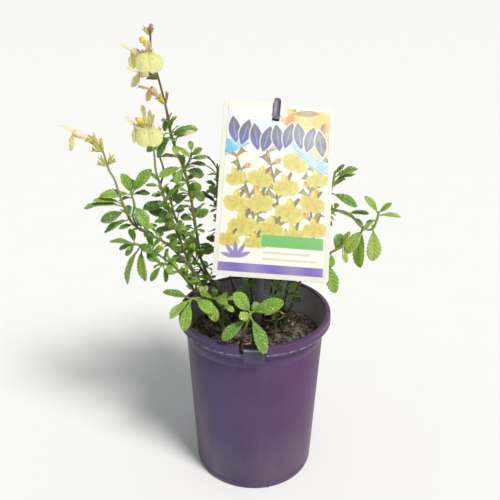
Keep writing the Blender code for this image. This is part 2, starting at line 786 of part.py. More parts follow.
def pot_profile():
    """The pot's outline as (radius, height), from the base's centre round to the floor's."""
    skirt = POT_HEIGHT - SKIRT_DROP
    collar = POT_HEIGHT - COLLAR_DROP
    inner = RIM_RADIUS - RIM_WIDTH
    outside = [(BASE_RADIUS - 2.0, 0.0), (wall_radius(2.5), 2.5), (wall_radius(collar), collar),
               (wall_radius(skirt) + COLLAR_FLARE, skirt), (RIM_RADIUS, skirt),
               (RIM_RADIUS, POT_HEIGHT - 1.2), (RIM_RADIUS - 1.2, POT_HEIGHT)]
    inside = [(inner + 0.8, POT_HEIGHT), (inner, POT_HEIGHT - 1.0), (inner, skirt),
              (wall_radius(collar) - WALL, collar - 1), (wall_radius(FLOOR) - WALL, FLOOR)]
    return outside + inside


def turned_solid(name, outline, sides, finish_name):
    """A solid turned about +Z from an outline that runs from base centre to top centre."""
    points, faces = [(0, 0, outline[0][1])], []
    for radius, height in outline:
        for j in range(sides):
            a = 2 * math.pi * (j + 0.5) / sides
            points.append((radius * math.cos(a), radius * math.sin(a), height))
    points.append((0, 0, outline[-1][1]))
    end = len(points) - 1
    for j in range(sides):
        k = (j + 1) % sides
        faces.append((0, 1 + k, 1 + j))
        for band in range(len(outline) - 1):
            a, b = 1 + band * sides + j, 1 + band * sides + k
            faces.append((a, b, b + sides, a + sides))
        top = 1 + (len(outline) - 1) * sides
        faces.append((top + j, top + k, end))
    return make_object(name, points, faces, finish_name)


def block(name, low, high, finish_name):
    """A box between two corners."""
    points = [(x, y, z) for z in (low[2], high[2]) for y in (low[1], high[1])
              for x in (low[0], high[0])]
    faces = [(0, 2, 3, 1), (4, 5, 7, 6), (0, 1, 5, 4), (1, 3, 7, 5), (3, 2, 6, 7), (2, 0, 4, 6)]
    return make_object(name, points, faces, finish_name)


def rod(name, centre, radius, low, high, sides, finish_name):
    """An upright prism, used as a hole's cutter."""
    points, faces = [], []
    for height in (low, high):
        for j in range(sides):
            a = 2 * math.pi * (j + 0.5) / sides
            points.append((centre[0] + radius * math.cos(a), centre[1] + radius * math.sin(a), height))
    faces.append(tuple(reversed(range(sides))))
    faces.append(tuple(range(sides, 2 * sides)))
    for j in range(sides):
        k = (j + 1) % sides
        faces.append((j, k, k + sides, j + sides))
    return make_object(name, points, faces, finish_name)


def build_pot():
    """The pot: a tapered moulded tub with a rolled rim, a notch for the clip and drain holes."""
    pot = turned_solid("pot", pot_profile(), POT_SIDES, "pot_plastic")
    low = NOTCH_CENTRE - NOTCH_WIDTH / 2
    notch = block("notch", (low, -RIM_RADIUS - 2, POT_HEIGHT - SKIRT_DROP - 0.5),
                  (low + NOTCH_WIDTH, -RIM_RADIUS + RIM_WIDTH + 8, POT_HEIGHT + 2), "pot_plastic")
    holes = [rod("drain", (DRAIN_CIRCLE * math.cos(a), DRAIN_CIRCLE * math.sin(a)), DRAIN_RADIUS,
                 -2, FLOOR + 2, 8, "pot_plastic")
             for a in (2 * math.pi * (k + 0.5) / DRAIN_HOLES for k in range(DRAIN_HOLES))]
    boolean(pot, [notch, *holes], "DIFFERENCE")
    return pot


def soil_height(x, y):
    """The lumpy surface of the potting mix."""
    broad = noise.noise(Vector((x * 0.045, y * 0.045, 1.7)))
    fine = noise.noise(Vector((x * 0.16, y * 0.16, 5.1)))
    return SOIL_LEVEL + SOIL_RELIEF * (1.2 * broad + 0.9 * fine)


def build_soil():
    """The potting mix, with a plain hole for the foot of each stem."""
    wall = wall_radius(SOIL_LEVEL) - WALL - GAP - 0.15
    foot = wall_radius(FLOOR) - WALL - GAP - 0.15
    points, faces = [(0, 0, FLOOR + GAP)], []
    rings = [(foot, FLOOR + GAP, False), (wall, SOIL_LEVEL - 3, False)]
    rings += [(wall * share, 0.0, True) for share in (0.985, *reversed(SOIL_RINGS))]
    for radius, height, surface in rings:
        for j in range(POT_SIDES):
            a = 2 * math.pi * (j + 0.5) / POT_SIDES
            x, y = radius * math.cos(a), radius * math.sin(a)
            points.append((x, y, soil_height(x, y) if surface else height))
    points.append((0, 0, soil_height(0, 0)))
    end = len(points) - 1
    for j in range(POT_SIDES):
        k = (j + 1) % POT_SIDES
        faces.append((0, 1 + k, 1 + j))
        for band in range(len(rings) - 1):
            a, b = 1 + band * POT_SIDES + j, 1 + band * POT_SIDES + k
            faces += [(a, b, b + POT_SIDES), (a, b + POT_SIDES, a + POT_SIDES)]
        top = 1 + (len(rings) - 1) * POT_SIDES
        faces.append((top + j, top + k, end))
    soil = make_object("soil", points, faces, "soil_mix")
    holes = []
    for stem in STEMS:
        x, y, z = stem.route[0]
        holes.append(rod("hole", (x, y), stem.thick[0] + 1.0, z - ROOT_DEPTH - GAP, SOIL_LEVEL + 8, 6,
                         "soil_mix"))
    boolean(soil, holes, "DIFFERENCE")
    return soil


def label_frame():
    """Matrix from the card's own axes (right, up, towards the viewer) to the pot's."""
    right = Vector((math.cos(TURN), math.sin(TURN), 0))
    out = right.cross(Vector((0, math.sin(LEAN), math.cos(LEAN)))).normalized()
    up = out.cross(right)
    frame = Matrix.Identity(4)
    for row in range(3):
        for column, axis in enumerate((right, up, out, Vector((0, -67.0, 160.0)))):
            frame[row][column] = axis[row]
    return frame @ Matrix.Translation((*CARD_MIDDLE, 0.0)) @ Matrix.Rotation(-TILT, 4, "Z")


def stake_frame(frame):
    """Matrix from the stake's axes (its foot at the origin, +Y up along it) to the pot's."""
    foot, top = Vector(STAKE_FOOT), Vector(STAKE_TOP)
    along_stake = top - foot
    turn = math.atan2(-along_stake.x, along_stake.y)
    place = Matrix.Translation((*foot, 0.0)) @ Matrix.Rotation(turn, 4, "Z")
    return frame @ place, along_stake.length


def in_frame(frame, points):
    """Points moved into a frame."""
    return [frame @ Vector(p) for p in points]


def slab(name, frame, outline, low, high, finish_name):
    """A flat plate with an outline in a frame's plane, between two heights over it."""
    count = len(outline)
    points = in_frame(frame, [(x, y, low) for x, y in outline] + [(x, y, high) for x, y in outline])
    faces = [tuple(reversed(range(count))), tuple(range(count, 2 * count))]
    for j in range(count):
        k = (j + 1) % count
        faces.append((j, k, k + count, j + count))
    return make_object(name, points, faces, finish_name)


def rounded_rectangle(width, height, corner, steps=3):
    """Outline of a rectangle with round corners, about the origin."""
    outline = []
    for quarter, (x, y) in enumerate(((1, 1), (-1, 1), (-1, -1), (1, -1))):
        for k in range(steps + 1):
            a = math.pi / 2 * (quarter + k / steps)
            outline.append((x * (width / 2 - corner) + corner * math.cos(a),
                            y * (height / 2 - corner) + corner * math.sin(a)))
    return outline


def rectangle(low_x, high_x, low_y, high_y):
    """Corners of a rectangle, in order."""
    return [(low_x, low_y), (high_x, low_y), (high_x, high_y), (low_x, high_y)]


def build_card(frame):
    """The printed card, with the slot that its stake passes through."""
    card = slab("label_card", frame, rounded_rectangle(CARD_WIDTH, CARD_HEIGHT, CARD_CORNER),
                0.0, CARD_THICK, "card_print")
    stake, length = stake_frame(frame)
    x, y = SLOT_WIDTH / 2, SLOT_HEIGHT / 2
    slot = length - STAKE_TIP
    outline = rectangle(-x, x, slot - y, slot + y)
    boolean(card, [slab("slot", stake, outline, -2, 3, "card_print")], "DIFFERENCE")
    return card


def build_stake(frame):
    """The stake: a clip over the rim, a strip behind the card, and a tip through its slot."""
    stake, length = stake_frame(frame)
    slot = length - STAKE_TIP
    w = STAKE_WIDTH / 2
    back = -GAP - STAKE_THICK
    front = CARD_THICK + GAP
    strip = slab("label_stake", stake, rectangle(-w, w, -1.5, slot + 1.4), back, -GAP,
                 "stake_plastic")
    step = slab("step", stake, rectangle(-w, w, slot - 1.4, slot + 1.4), back + 0.2,
                front + STAKE_THICK - 0.2, "stake_plastic")
    outline = [(-w, slot - 1.4), (w, slot - 1.4), (w, length - 1.0), (w - 1.0, length),
               (2.2 - w, length), (-w, length - 2.2)]
    tip = slab("tip", stake, outline, front, front + STAKE_THICK, "stake_plastic")
    low = -CLIP_WIDTH / 2 - 0.4
    high = CLIP_WIDTH / 2 - 0.4
    outer = -CLIP_REACH
    plate = block("plate", (low, outer, CLIP_FOOT), (high, outer + CLIP_THICK, CLIP_TOP),
                  "stake_plastic")
    bridge = block("bridge", (low, outer + 0.2, CLIP_TOP - 3.0), (high, -59.5, CLIP_TOP - 0.3),
                   "stake_plastic")
    leg = block("leg", (low + 3, -61.3, CLIP_FOOT - 4), (high - 3, -59.7, CLIP_TOP - 0.8),
                "stake_plastic")
    boolean(strip, [step, tip, plate, bridge, leg], "UNION")
    return strip


def mesh_body(thing):
    """An object's mesh as a body in millimetres."""
    mesh = thing.data
    mesh.calc_loop_triangles()
    return ([v.co / MM for v in mesh.vertices],
            [tuple(t.vertices) for t in mesh.loop_triangles])


def keep_outer_shell(thing):
    """Fills sealed hollows and drops scraps: only the largest connected surface stays."""
    work = bmesh.new()
    work.from_mesh(thing.data)
    left, parts = set(work.verts), []
    while left:
        part, reach = set(), [left.pop()]
        while reach:
            vert = reach.pop()
            part.add(vert)
            for edge in vert.link_edges:
                other = edge.other_vert(vert)
                if other in left:
                    left.remove(other)
                    reach.append(other)
        parts.append(part)
    parts.sort(key=len)
    for part in parts[:-1]:
        print("dropped a shell of", len(part), "points from", thing.name)
        bmesh.ops.delete(work, geom=list(part), context="VERTS")
    work.to_mesh(thing.data)
    work.free()


def fuse(name, bodies, finish_name):
    """Joins overlapping bodies into one solid."""
    things = [make_object(name, verts, tris, finish_name) for verts, tris in bodies]
    first, others = things[0], things[1:]
    if others:
        boolean(first, others, "UNION")
        keep_outer_shell(first)
    return first


def clear_scene():
    """Removes what the opened file holds."""
    for thing in list(bpy.data.objects):
        bpy.data.objects.remove(thing)


def main():
    """Builds the pot, the soil, the label and the plant."""
    clear_scene()
    frame = label_frame()
    made = [build_pot(), build_soil(), build_card(frame), build_stake(frame)]
    green, coloured = plan_plant([(thing.name, mesh_body(thing)) for thing in made])
    for name, bodies in green.items():
        fuse(name, bodies, "leaf_green")
    for name, bodies in coloured.items():
        fuse(name, bodies, "bud_yellow" if name.startswith("bud") else "petal_cream")


main()
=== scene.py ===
"""A potted salvia in flower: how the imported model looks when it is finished.

The plan of the plant is the model's own, in millimetres. Lengths become metres where a mesh is
written. Each plain solid of the plant is replaced by finer pieces of the same form.
"""
import cmath
import logging
import math
import random
from dataclasses import dataclass, replace
from enum import Enum
from typing import Callable, Iterator, Sequence

import bpy
import numpy as np
from mathutils import Matrix, Vector, noise
from mathutils.bvhtree import BVHTree
from mathutils.kdtree import KDTree


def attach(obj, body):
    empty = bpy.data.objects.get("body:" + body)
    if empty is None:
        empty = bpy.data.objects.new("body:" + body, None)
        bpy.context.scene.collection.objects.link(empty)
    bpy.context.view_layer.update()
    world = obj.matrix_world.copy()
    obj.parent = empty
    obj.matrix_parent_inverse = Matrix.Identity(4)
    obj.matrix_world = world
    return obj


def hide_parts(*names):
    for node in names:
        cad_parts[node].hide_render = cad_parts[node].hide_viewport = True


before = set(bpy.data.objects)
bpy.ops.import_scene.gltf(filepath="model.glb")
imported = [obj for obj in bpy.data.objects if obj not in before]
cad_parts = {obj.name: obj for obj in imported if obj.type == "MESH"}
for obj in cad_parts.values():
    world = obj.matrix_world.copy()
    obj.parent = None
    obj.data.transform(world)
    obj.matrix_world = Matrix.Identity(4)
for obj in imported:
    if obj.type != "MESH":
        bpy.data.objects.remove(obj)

MM = 0.001
BODY = "root"
PAIR_SEED = 20
STALK_SHARE = 0.15
VEIN_PAIRS = 7
VEIN_SLANT = 0.22
BLADE_THICK = 0.42
PETAL_THICK = 0.4
BELL_THICK = 0.35
WALL_FOOT = 56.5
WALL_TAPER = 8.1 / 165.0
SOIL_LEVEL = 138.0
THIN = {"Subsurface_Weight": 0.6, "Subsurface_Scale": 0.002, "Subsurface_Radius": (1.0, 0.9, 0.5)}

Thing = bpy.types.Object
Material = bpy.types.Material
Colour = tuple[float, float, float]
Rings = Sequence[tuple[float, float]]
Shape = tuple[np.ndarray, list, np.ndarray]

log = logging.getLogger("salvia")


def paint(code: str) -> Colour:
    """Linear colour of six hexadecimal digits."""
    parts = (int(code[k:k + 2], 16) / 255 for k in (0, 2, 4))
    return tuple(p / 12.92 if p <= 0.04045 else ((p + 0.055) / 1.055) ** 2.4 for p in parts)


def fade(first: object, second: object, share: object) -> np.ndarray:
    """A colour carried towards another, by one share or by a share for each point."""
    first, second, share = (np.asarray(value, float) for value in (first, second, share))
    return first + (second - first) * (share[..., None] if share.ndim else share)


def frame_of(*axes: Vector) -> Matrix:
    """The place whose columns are three axes and an origin."""
    return Matrix([(*axis, end) for axis, end in zip(axes, (0, 0, 0, 1))]).transposed()


class Tone(Enum):
    """How fresh a green part is, as its colour at its foot, its tip and its points. The dark olive tone is
    painted shade, for calyces that stand in shadow.
    """

    FRESH = ("b9bc4c", "e8e284", "b98a48")
    OLIVE = ("5f5f2c", "4c4b28", "4a3a22")
    ROSY = ("b08c68", "d2a496", "e6c2b6")
    DRY = ("a8804e", "b88a58", "9a6a44")


class State(Enum):
    """How far on a flower is, as its share of wilt and its calyx's tone. SHADED is painted shade for a
    flower in shadow: a little brown in its petals and the dark olive calyx.
    """

    OPEN = (0.0, Tone.FRESH)
    SHADED = (0.12, Tone.OLIVE)
    WILTED = (0.5, Tone.FRESH)


@dataclass(frozen=True)
class Stem:
    """One main stem: its route, thickness and what grows on it, as in the model's plan.

    A leaf is (place along the stem, turn, rise, length, width, roll), and a calyx is (place,
    turn, rise, length, radius), with angles in degrees and sizes in millimetres. A pair is
    (place, turn), and tufts are places where young leaves grow, each tried that many times. The
    tone says how much brighter than most its leaves are: painted light and shade, brighter on
    stems that stand in the light and darker on stems that stand in shade.
    """

    name: str
    route: tuple
    thick: tuple = (1.6, 0.8)
    leaves: tuple = ()
    calyces: tuple = ()
    side: tuple = ()
    side_leaves: tuple = ()
    side_calyces: tuple = ()
    pairs: tuple = ()
    tufts: tuple = ()
    dry: tuple = ()
    tries: int = 7
    # painted light and shade: brighter or darker leaves on this stem
    tone: float = 0.0
    skin: tuple = ("3f3a20", "56642a", "929d46")


@dataclass(frozen=True)
class Bloom:
    """An open flower: its seat on the stem, direction, and the rise of its hood and lip."""

    name: str
    stem: str
    at: float
    turn: float
    rise: float
    hood: float
    lip: float
    lip_width: float
    lip_height: float
    calyx: tuple = (10.0, 3.3)
    tube: float = 10.0
    hood_length: float = 12.0
    state: State = State.OPEN


@dataclass(frozen=True)
class Bud:
    """A flower that hasn't opened."""

    name: str
    stem: str
    at: float
    turn: float
    rise: float
    length: float = 5.5
    calyx: tuple = (7.5, 2.9)
    state: State = State.OPEN


STEMS = (
    Stem(
        "stem_spike_a",
        ((-12, 14, 140), (-46, 15, 196), (-53, 14, 234), (-57, 12, 270), (-62, 12, 294),
         (-68, 12, 311), (-72, 12, 326), (-74, 12, 342), (-77, 12, 358), (-80, 10, 373),
         (-84, 9, 389), (-83.5, 8, 409)),
        leaves=(
            (0.75, -125, -70, 13, 5, -25), (0.71, -70, 70, 17, 6, 15), (0.70, 10, 5, 23, 8, 35),
            (0.69, -25, 25, 16, 6, 65), (0.69, -160, -30, 25, 9, -40), (0.69, 175, -20, 22, 8, -20),
            (0.66, -25, -30, 16, 5, 20), (0.62, -175, 0, 18, 6, -20),
            (0.59, -165, -25, 23, 8, -45), (0.59, -120, -45, 17, 7, -35), (0.58, 20, -20, 19, 9, 65),
            (0.54, -155, -20, 14, 5, -45), (0.51, 25, -35, 17, 8, 70), (0.50, 150, -35, 20, 7, -60),
            (0.42, -15, 30, 16, 8, 65), (0.41, 150, 5, 15, 7, -45), (0.33, -25, -15, 17, 8, 45),
            (0.32, 145, -50, 22, 8, -60),
        ),
        calyces=(
            (0.995, -60, 60, 6, 1.7, Tone.ROSY), (0.995, 60, 65, 6, 1.6, Tone.ROSY),
            (0.98, -150, 50, 10, 1.6),
            (0.985, 170, 72, 7, 1.6, Tone.ROSY), (0.985, -10, 68, 7, 1.6, Tone.ROSY),
            # the dark olive calyx here is painted shade
            (0.872, -145, 50, 10, 2.4, Tone.OLIVE), (0.78, -45, 75, 13, 1.5, Tone.DRY),
        ),
        side=((-62, 12, 294), (-57, 9, 301), (-54, 6, 310)),
        side_leaves=(
            (0.83, -20, 35, 13, 6, 70), (0.63, 10, 5, 14, 5, 40), (0.32, 15, -5, 16, 5, 30),
            (0.97, 100, 45, 12, 5, 0),
        ),
        pairs=((0.47, 75.0),),
        dry=((0.678, -8, 21, 22, 4.6, 40),),
        skin=("4d4628", "6f7434", "5c5034"),
        tufts=(0.24, 0.29, 0.34, 0.38, 0.42, 0.46, 0.5, 0.54, 0.58, 0.62, 0.66, 0.7, 0.73),
    ),
    Stem(
        "stem_spike_b",
        ((-20, 4, 140), (-54, 4, 196), (-67, 4, 231), (-76, 5, 259), (-82, 5, 281), (-85, 4, 295),
         (-85, 2, 307), (-86, 2, 322), (-87, 2, 334)),
        leaves=(
            (0.76, -135, 60, 12, 4, -60),
            (0.74, -160, 10, 13, 4, -35), (0.70, -150, 10, 11, 4, -60), (0.68, -20, 45, 16, 5, 55),
            (0.62, 150, -35, 15, 6, -60), (0.52, -140, -50, 14, 6, -35),
        ),
        calyces=((0.995, -90, 85, 14, 1.9), (0.98, 60, 75, 14, 1.9)),
        side=((-82, 5, 281), (-79, 8, 294), (-83, 12, 308), (-85, 16, 321)),
        side_calyces=((0.985, 0, 65, 11, 1.6), (0.84, 15, 55, 12, 1.6), (0.99, 130, 60, 11, 1.7)),
        pairs=((0.45, 60.0),),
        tufts=(0.3, 0.35, 0.4, 0.45, 0.5, 0.54, 0.58, 0.62, 0.66, 0.7),
    ),
    Stem(
        "stem_spike_c",
        ((-26, -8, 140), (-52, -6, 198), (-73, -4, 226), (-92, -2, 238), (-102, -6, 246),
         (-107, -8, 253), (-112, -10, 268), (-116, -10, 284), (-118, -10, 292), (-122, -10, 300),
         (-125, -10, 314), (-130, -10, 323)),
        leaves=(
            (0.74, -170, 10, 25, 8, -15), (0.73, -170, 0, 33, 9, -5), (0.71, -150, -15, 23, 9, -55),
            (0.67, -165, -25, 25, 8, -25),
        ),
        calyces=(
            (0.975, -160, 65, 14, 2.2), (0.95, 125, 75, 13, 1.9), (0.955, -165, 50, 13, 1.9),
            (0.96, -125, 20, 12, 2.0), (0.90, -160, 55, 11, 1.9), (0.90, -130, 25, 12, 2.0),
            (0.90, 25, 65, 11, 2.1), (0.905, -25, 30, 11, 1.9),
        ),
        side=((-102, -6, 246), (-106, -4, 256), (-104, -3, 266), (-106, -3, 276)),
        side_leaves=(
            (0.99, -165, -5, 27, 9, -40), (0.99, -165, 70, 20, 9, -60), (0.99, 10, 40, 29, 10, 60),
            (0.98, 30, -5, 17, 6, 30),
            (0.90, 155, -20, 16, 5, -30), (0.68, -40, -45, 22, 11, 25), (0.99, 100, 30, 18, 7, 0),
        ),
        tufts=(0.3, 0.36, 0.42, 0.47, 0.52, 0.56, 0.6, 0.64, 0.68),
    ),
    Stem(
        "stem_low_left",
        ((-28, -2, 140), (-57, -8, 190), (-73, -14, 215), (-88, -18, 229), (-97, -22, 236),
         (-103, -24, 239)),
        thick=(1.5, 0.8),
        leaves=(
            (0.99, -125, 75, 16, 6, 35), (0.99, -170, 10, 21, 7, -15), (0.99, -130, -35, 13, 5, -35),
            (0.98, 170, -20, 17, 6, -25), (0.98, -25, -10, 18, 8, 40), (0.95, -145, -65, 36, 10, 0),
            (0.94, -75, -70, 30, 10, 40), (0.89, -60, -30, 14, 9, 10), (0.87, -95, 75, 17, 6, -10),
            (0.85, -45, 30, 12, 7, 60),
        ),
        side=((-73, -14, 215), (-77, -18, 217), (-81, -20, 217)),
        side_leaves=(
            (0.98, -145, 50, 12, 4, -60), (0.98, -140, -45, 17, 6, -30), (0.87, -55, -75, 16, 6, -20),
            (0.67, -30, 75, 17, 6, 60), (0.60, 10, 30, 12, 4, 25),
        ),
        pairs=((0.5, 100.0),),
        tufts=(0.4, 0.5, 0.6, 0.7, 0.78, 0.86),
    ),
    Stem(
        "stem_mid_left",
        ((-16, 24, 140), (-55, 24, 200), (-65, 22, 225), (-73, 20, 248), (-76, 18, 267)),
        thick=(1.5, 0.8),
        leaves=(
            (0.97, -30, 20, 16, 8, 60), (0.95, -160, -5, 26, 9, -35), (0.84, -165, 20, 26, 9, -50),
            (0.89, -30, 30, 13, 5, 60), (0.92, -145, -45, 19, 7, -40), (0.79, -140, 15, 12, 5, -60),
            (0.76, -165, 0, 23, 8, -15), (0.71, -150, 5, 17, 6, -50),
            (0.64, -160, 10, 18, 6, -15), (0.61, -140, -10, 13, 7, -45),
            (0.98, 155, 65, 13, 5, -40), (0.97, 30, 55, 13, 5, 45),
        ),
        pairs=((0.52, 80.0),),
        tufts=(0.35, 0.43, 0.5, 0.56, 0.62, 0.69, 0.75, 0.82, 0.88, 0.95),
    ),
    Stem(
        "stem_rim_left",
        ((-30, -14, 140), (-29, -24, 182), (-43, -33, 192), (-55, -40, 195)),
        thick=(1.3, 0.8),
        leaves=(
            (0.99, -170, 20, 25, 8, -30), (0.98, -155, -35, 25, 8, -25), (0.99, -120, -55, 28, 10, -10),
            (0.95, -25, -25, 21, 11, 35), (0.83, -40, -50, 23, 10, 25), (0.68, -30, -25, 14, 7, 35),
            (0.8, 110, 10, 18, 7, 0), (0.62, 80, -35, 20, 7, 0),
        ),
        tufts=(0.55, 0.7, 0.86),
        tone=0.12,
    ),
    Stem(
        "stem_front",
        ((-14, -38, 140), (-11, -51, 163), (-5, -59, 186), (-3, -62, 195)),
        thick=(1.4, 0.9),
        leaves=(
            (0.98, -170, 55, 24, 12, -65), (0.98, -10, 25, 30, 12, 50), (0.98, 35, 35, 11, 8, 40),
            (0.97, -140, 0, 12, 8, -40), (0.87, -160, -35, 29, 10, -30), (0.93, -50, -55, 34, 12, 10),
        ),
        tone=0.28,
    ),
    Stem(
        "sprout",
        ((19, 2, 140), (19.5, 1, 149)),
        thick=(0.9, 0.7),
        leaves=((0.96, -80, 40, 14, 12, 0), (0.93, 100, 30, 8, 5, 0)),
        tone=0.2,
    ),
    Stem(
        "stem_inner",
        ((18, -12, 140), (20, -12, 160), (26, -10, 194)),
        thick=(1.2, 0.8),
        leaves=(
            (0.85, -160, 45, 17, 6, -55), (0.89, -10, 30, 16, 5, 55), (0.73, -165, 25, 15, 5, -30),
            (0.81, -5, 0, 19, 7, 5), (0.97, 60, 60, 14, 6, 0), (0.6, 80, 10, 18, 7, 0),
        ),
        tufts=(0.5, 0.7, 0.85),
    ),
    Stem(
        "stem_right_top",
        ((10, 24, 140), (33, 29, 200), (58, 35, 237), (69, 37, 267), (72, 38, 285)),
        leaves=(
            (0.98, -20, 50, 13, 4, 65), (0.96, -10, 25, 23, 8, 20), (0.93, 10, 20, 22, 7, 5),
            (0.87, -10, -25, 28, 10, 40),
            (0.80, 155, 35, 12, 6, -50), (0.70, -25, -15, 14, 7, 50), (0.57, 150, 0, 13, 8, -50),
        ),
        tufts=(0.5, 0.58, 0.65, 0.73, 0.8, 0.9),
        tone=0.25,
    ),
    Stem(
        "stem_right_mid",
        ((22, 10, 140), (41, 15, 221), (58, 18, 252), (81, 13, 254), (94, 8, 243), (103, 6, 241),
         (107, 6, 250), (108, 6, 258)),
        leaves=(
            (0.70, -15, -15, 17, 6, 15), (0.76, -10, -15, 20, 7, 20), (0.79, 15, -40, 15, 5, 50),
            (0.99, -165, 50, 22, 7, -60), (0.99, -10, 45, 15, 5, 60), (0.98, -10, 0, 20, 7, 15),
            (0.96, -160, -35, 16, 5, -5), (0.96, 155, -35, 11, 5, -60), (0.92, -70, -80, 33, 13, 15),
            (0.87, -155, -50, 28, 12, -35), (0.86, 75, -80, 44, 13, -40),
        ),
        pairs=((0.42, 80.0),),
        tufts=(0.35, 0.42, 0.5, 0.56, 0.62, 0.7),
        tone=0.25,
    ),
    Stem(
        "stem_right_low",
        ((26, 0, 140), (46, 2, 203), (63, 2, 217), (79, 0, 228)),
        thick=(1.5, 0.8),
        leaves=(
            (0.98, -45, -75, 15, 5, 20), (0.97, -15, 65, 17, 6, 30), (0.91, 30, 60, 16, 9, 35),
            (0.87, -75, -65, 13, 6, 5), (0.79, -30, -65, 36, 12, 40), (0.92, 20, 45, 17, 6, 0),
        ),
        tufts=(0.5, 0.6, 0.7, 0.85),
        tone=0.25,
    ),
    Stem(
        "stem_back_left",
        ((-14, 34, 140), (-30, 46, 200), (-36, 56, 245), (-36, 62, 284)),
        thick=(1.5, 0.8),
        pairs=((0.97, 0.0), (0.87, 90.0), (0.74, 0.0), (0.6, 90.0), (0.45, 20.0)),
        tufts=(0.35, 0.42, 0.5, 0.57, 0.64, 0.71, 0.78, 0.85, 0.93),
        tries=9,
        tone=-0.15,
    ),
    Stem(
        "stem_back_right",
        ((14, 34, 140), (20, 50, 198), (30, 66, 250), (34, 74, 298)),
        pairs=((0.97, 0.0), (0.87, 90.0), (0.74, 0.0), (0.6, 90.0), (0.44, 30.0)),
        tufts=(0.5, 0.6, 0.7, 0.8, 0.9),
    ),
    Stem(
        "stem_centre",
        ((2, 10, 140), (-6, 12, 190), (-14, 22, 232), (-20, 30, 268)),
        thick=(1.5, 0.8),
        pairs=((0.97, 60.0), (0.86, 150.0), (0.73, 50.0), (0.58, 140.0)),
        tufts=(0.25, 0.32, 0.39, 0.46, 0.53, 0.6, 0.67, 0.74, 0.81, 0.88, 0.95),
        tries=9,
        tone=-0.2,
    ),
)

BLOOMS = (
    Bloom("bloom_a_front", "stem_spike_a", 0.94, -88, 7, 74, -62, 21.0, 14.5, tube=8.0, hood_length=9.5),
    Bloom("bloom_a_side", "stem_spike_a", 0.925, 165, 12, 35, -72, 15.0, 12.0, tube=7.5),
    # this flower stands in shadow: its state paints it darker
    Bloom("bloom_a_shade", "stem_spike_a", 0.862, -160, 18, 30, -40, 14.0, 11.0, tube=6.0,
          state=State.SHADED),
    Bloom("bloom_a_low", "stem_spike_a", 0.785, -158, 50, 20, -50, 9.0, 8.0, tube=8.0,
          state=State.WILTED),
    Bloom("bloom_b_front", "stem_spike_b", 0.965, -88, 37, 76, -62, 21.5, 15.0, tube=8.0, hood_length=9.5),
    Bloom("bloom_b_side", "stem_spike_b", 0.935, 175, 44, 48, -70, 15.0, 12.0, tube=9.0),
    Bloom("bloom_b_back", "stem_spike_b", 0.978, 128, 45, 75, -50, 11.0, 9.0, (8.0, 2.6), 5.0),
    Bloom("bloom_c_side", "stem_spike_c", 0.995, -165, 30, 40, -60, 16.0, 13.0),
)

BUDS = (
    Bud("bud_a", "stem_spike_a", 0.945, -155, 48),
    Bud("bud_b", "stem_spike_b", 0.99, -168, 36, 7.0, (8.0, 2.9)),
)


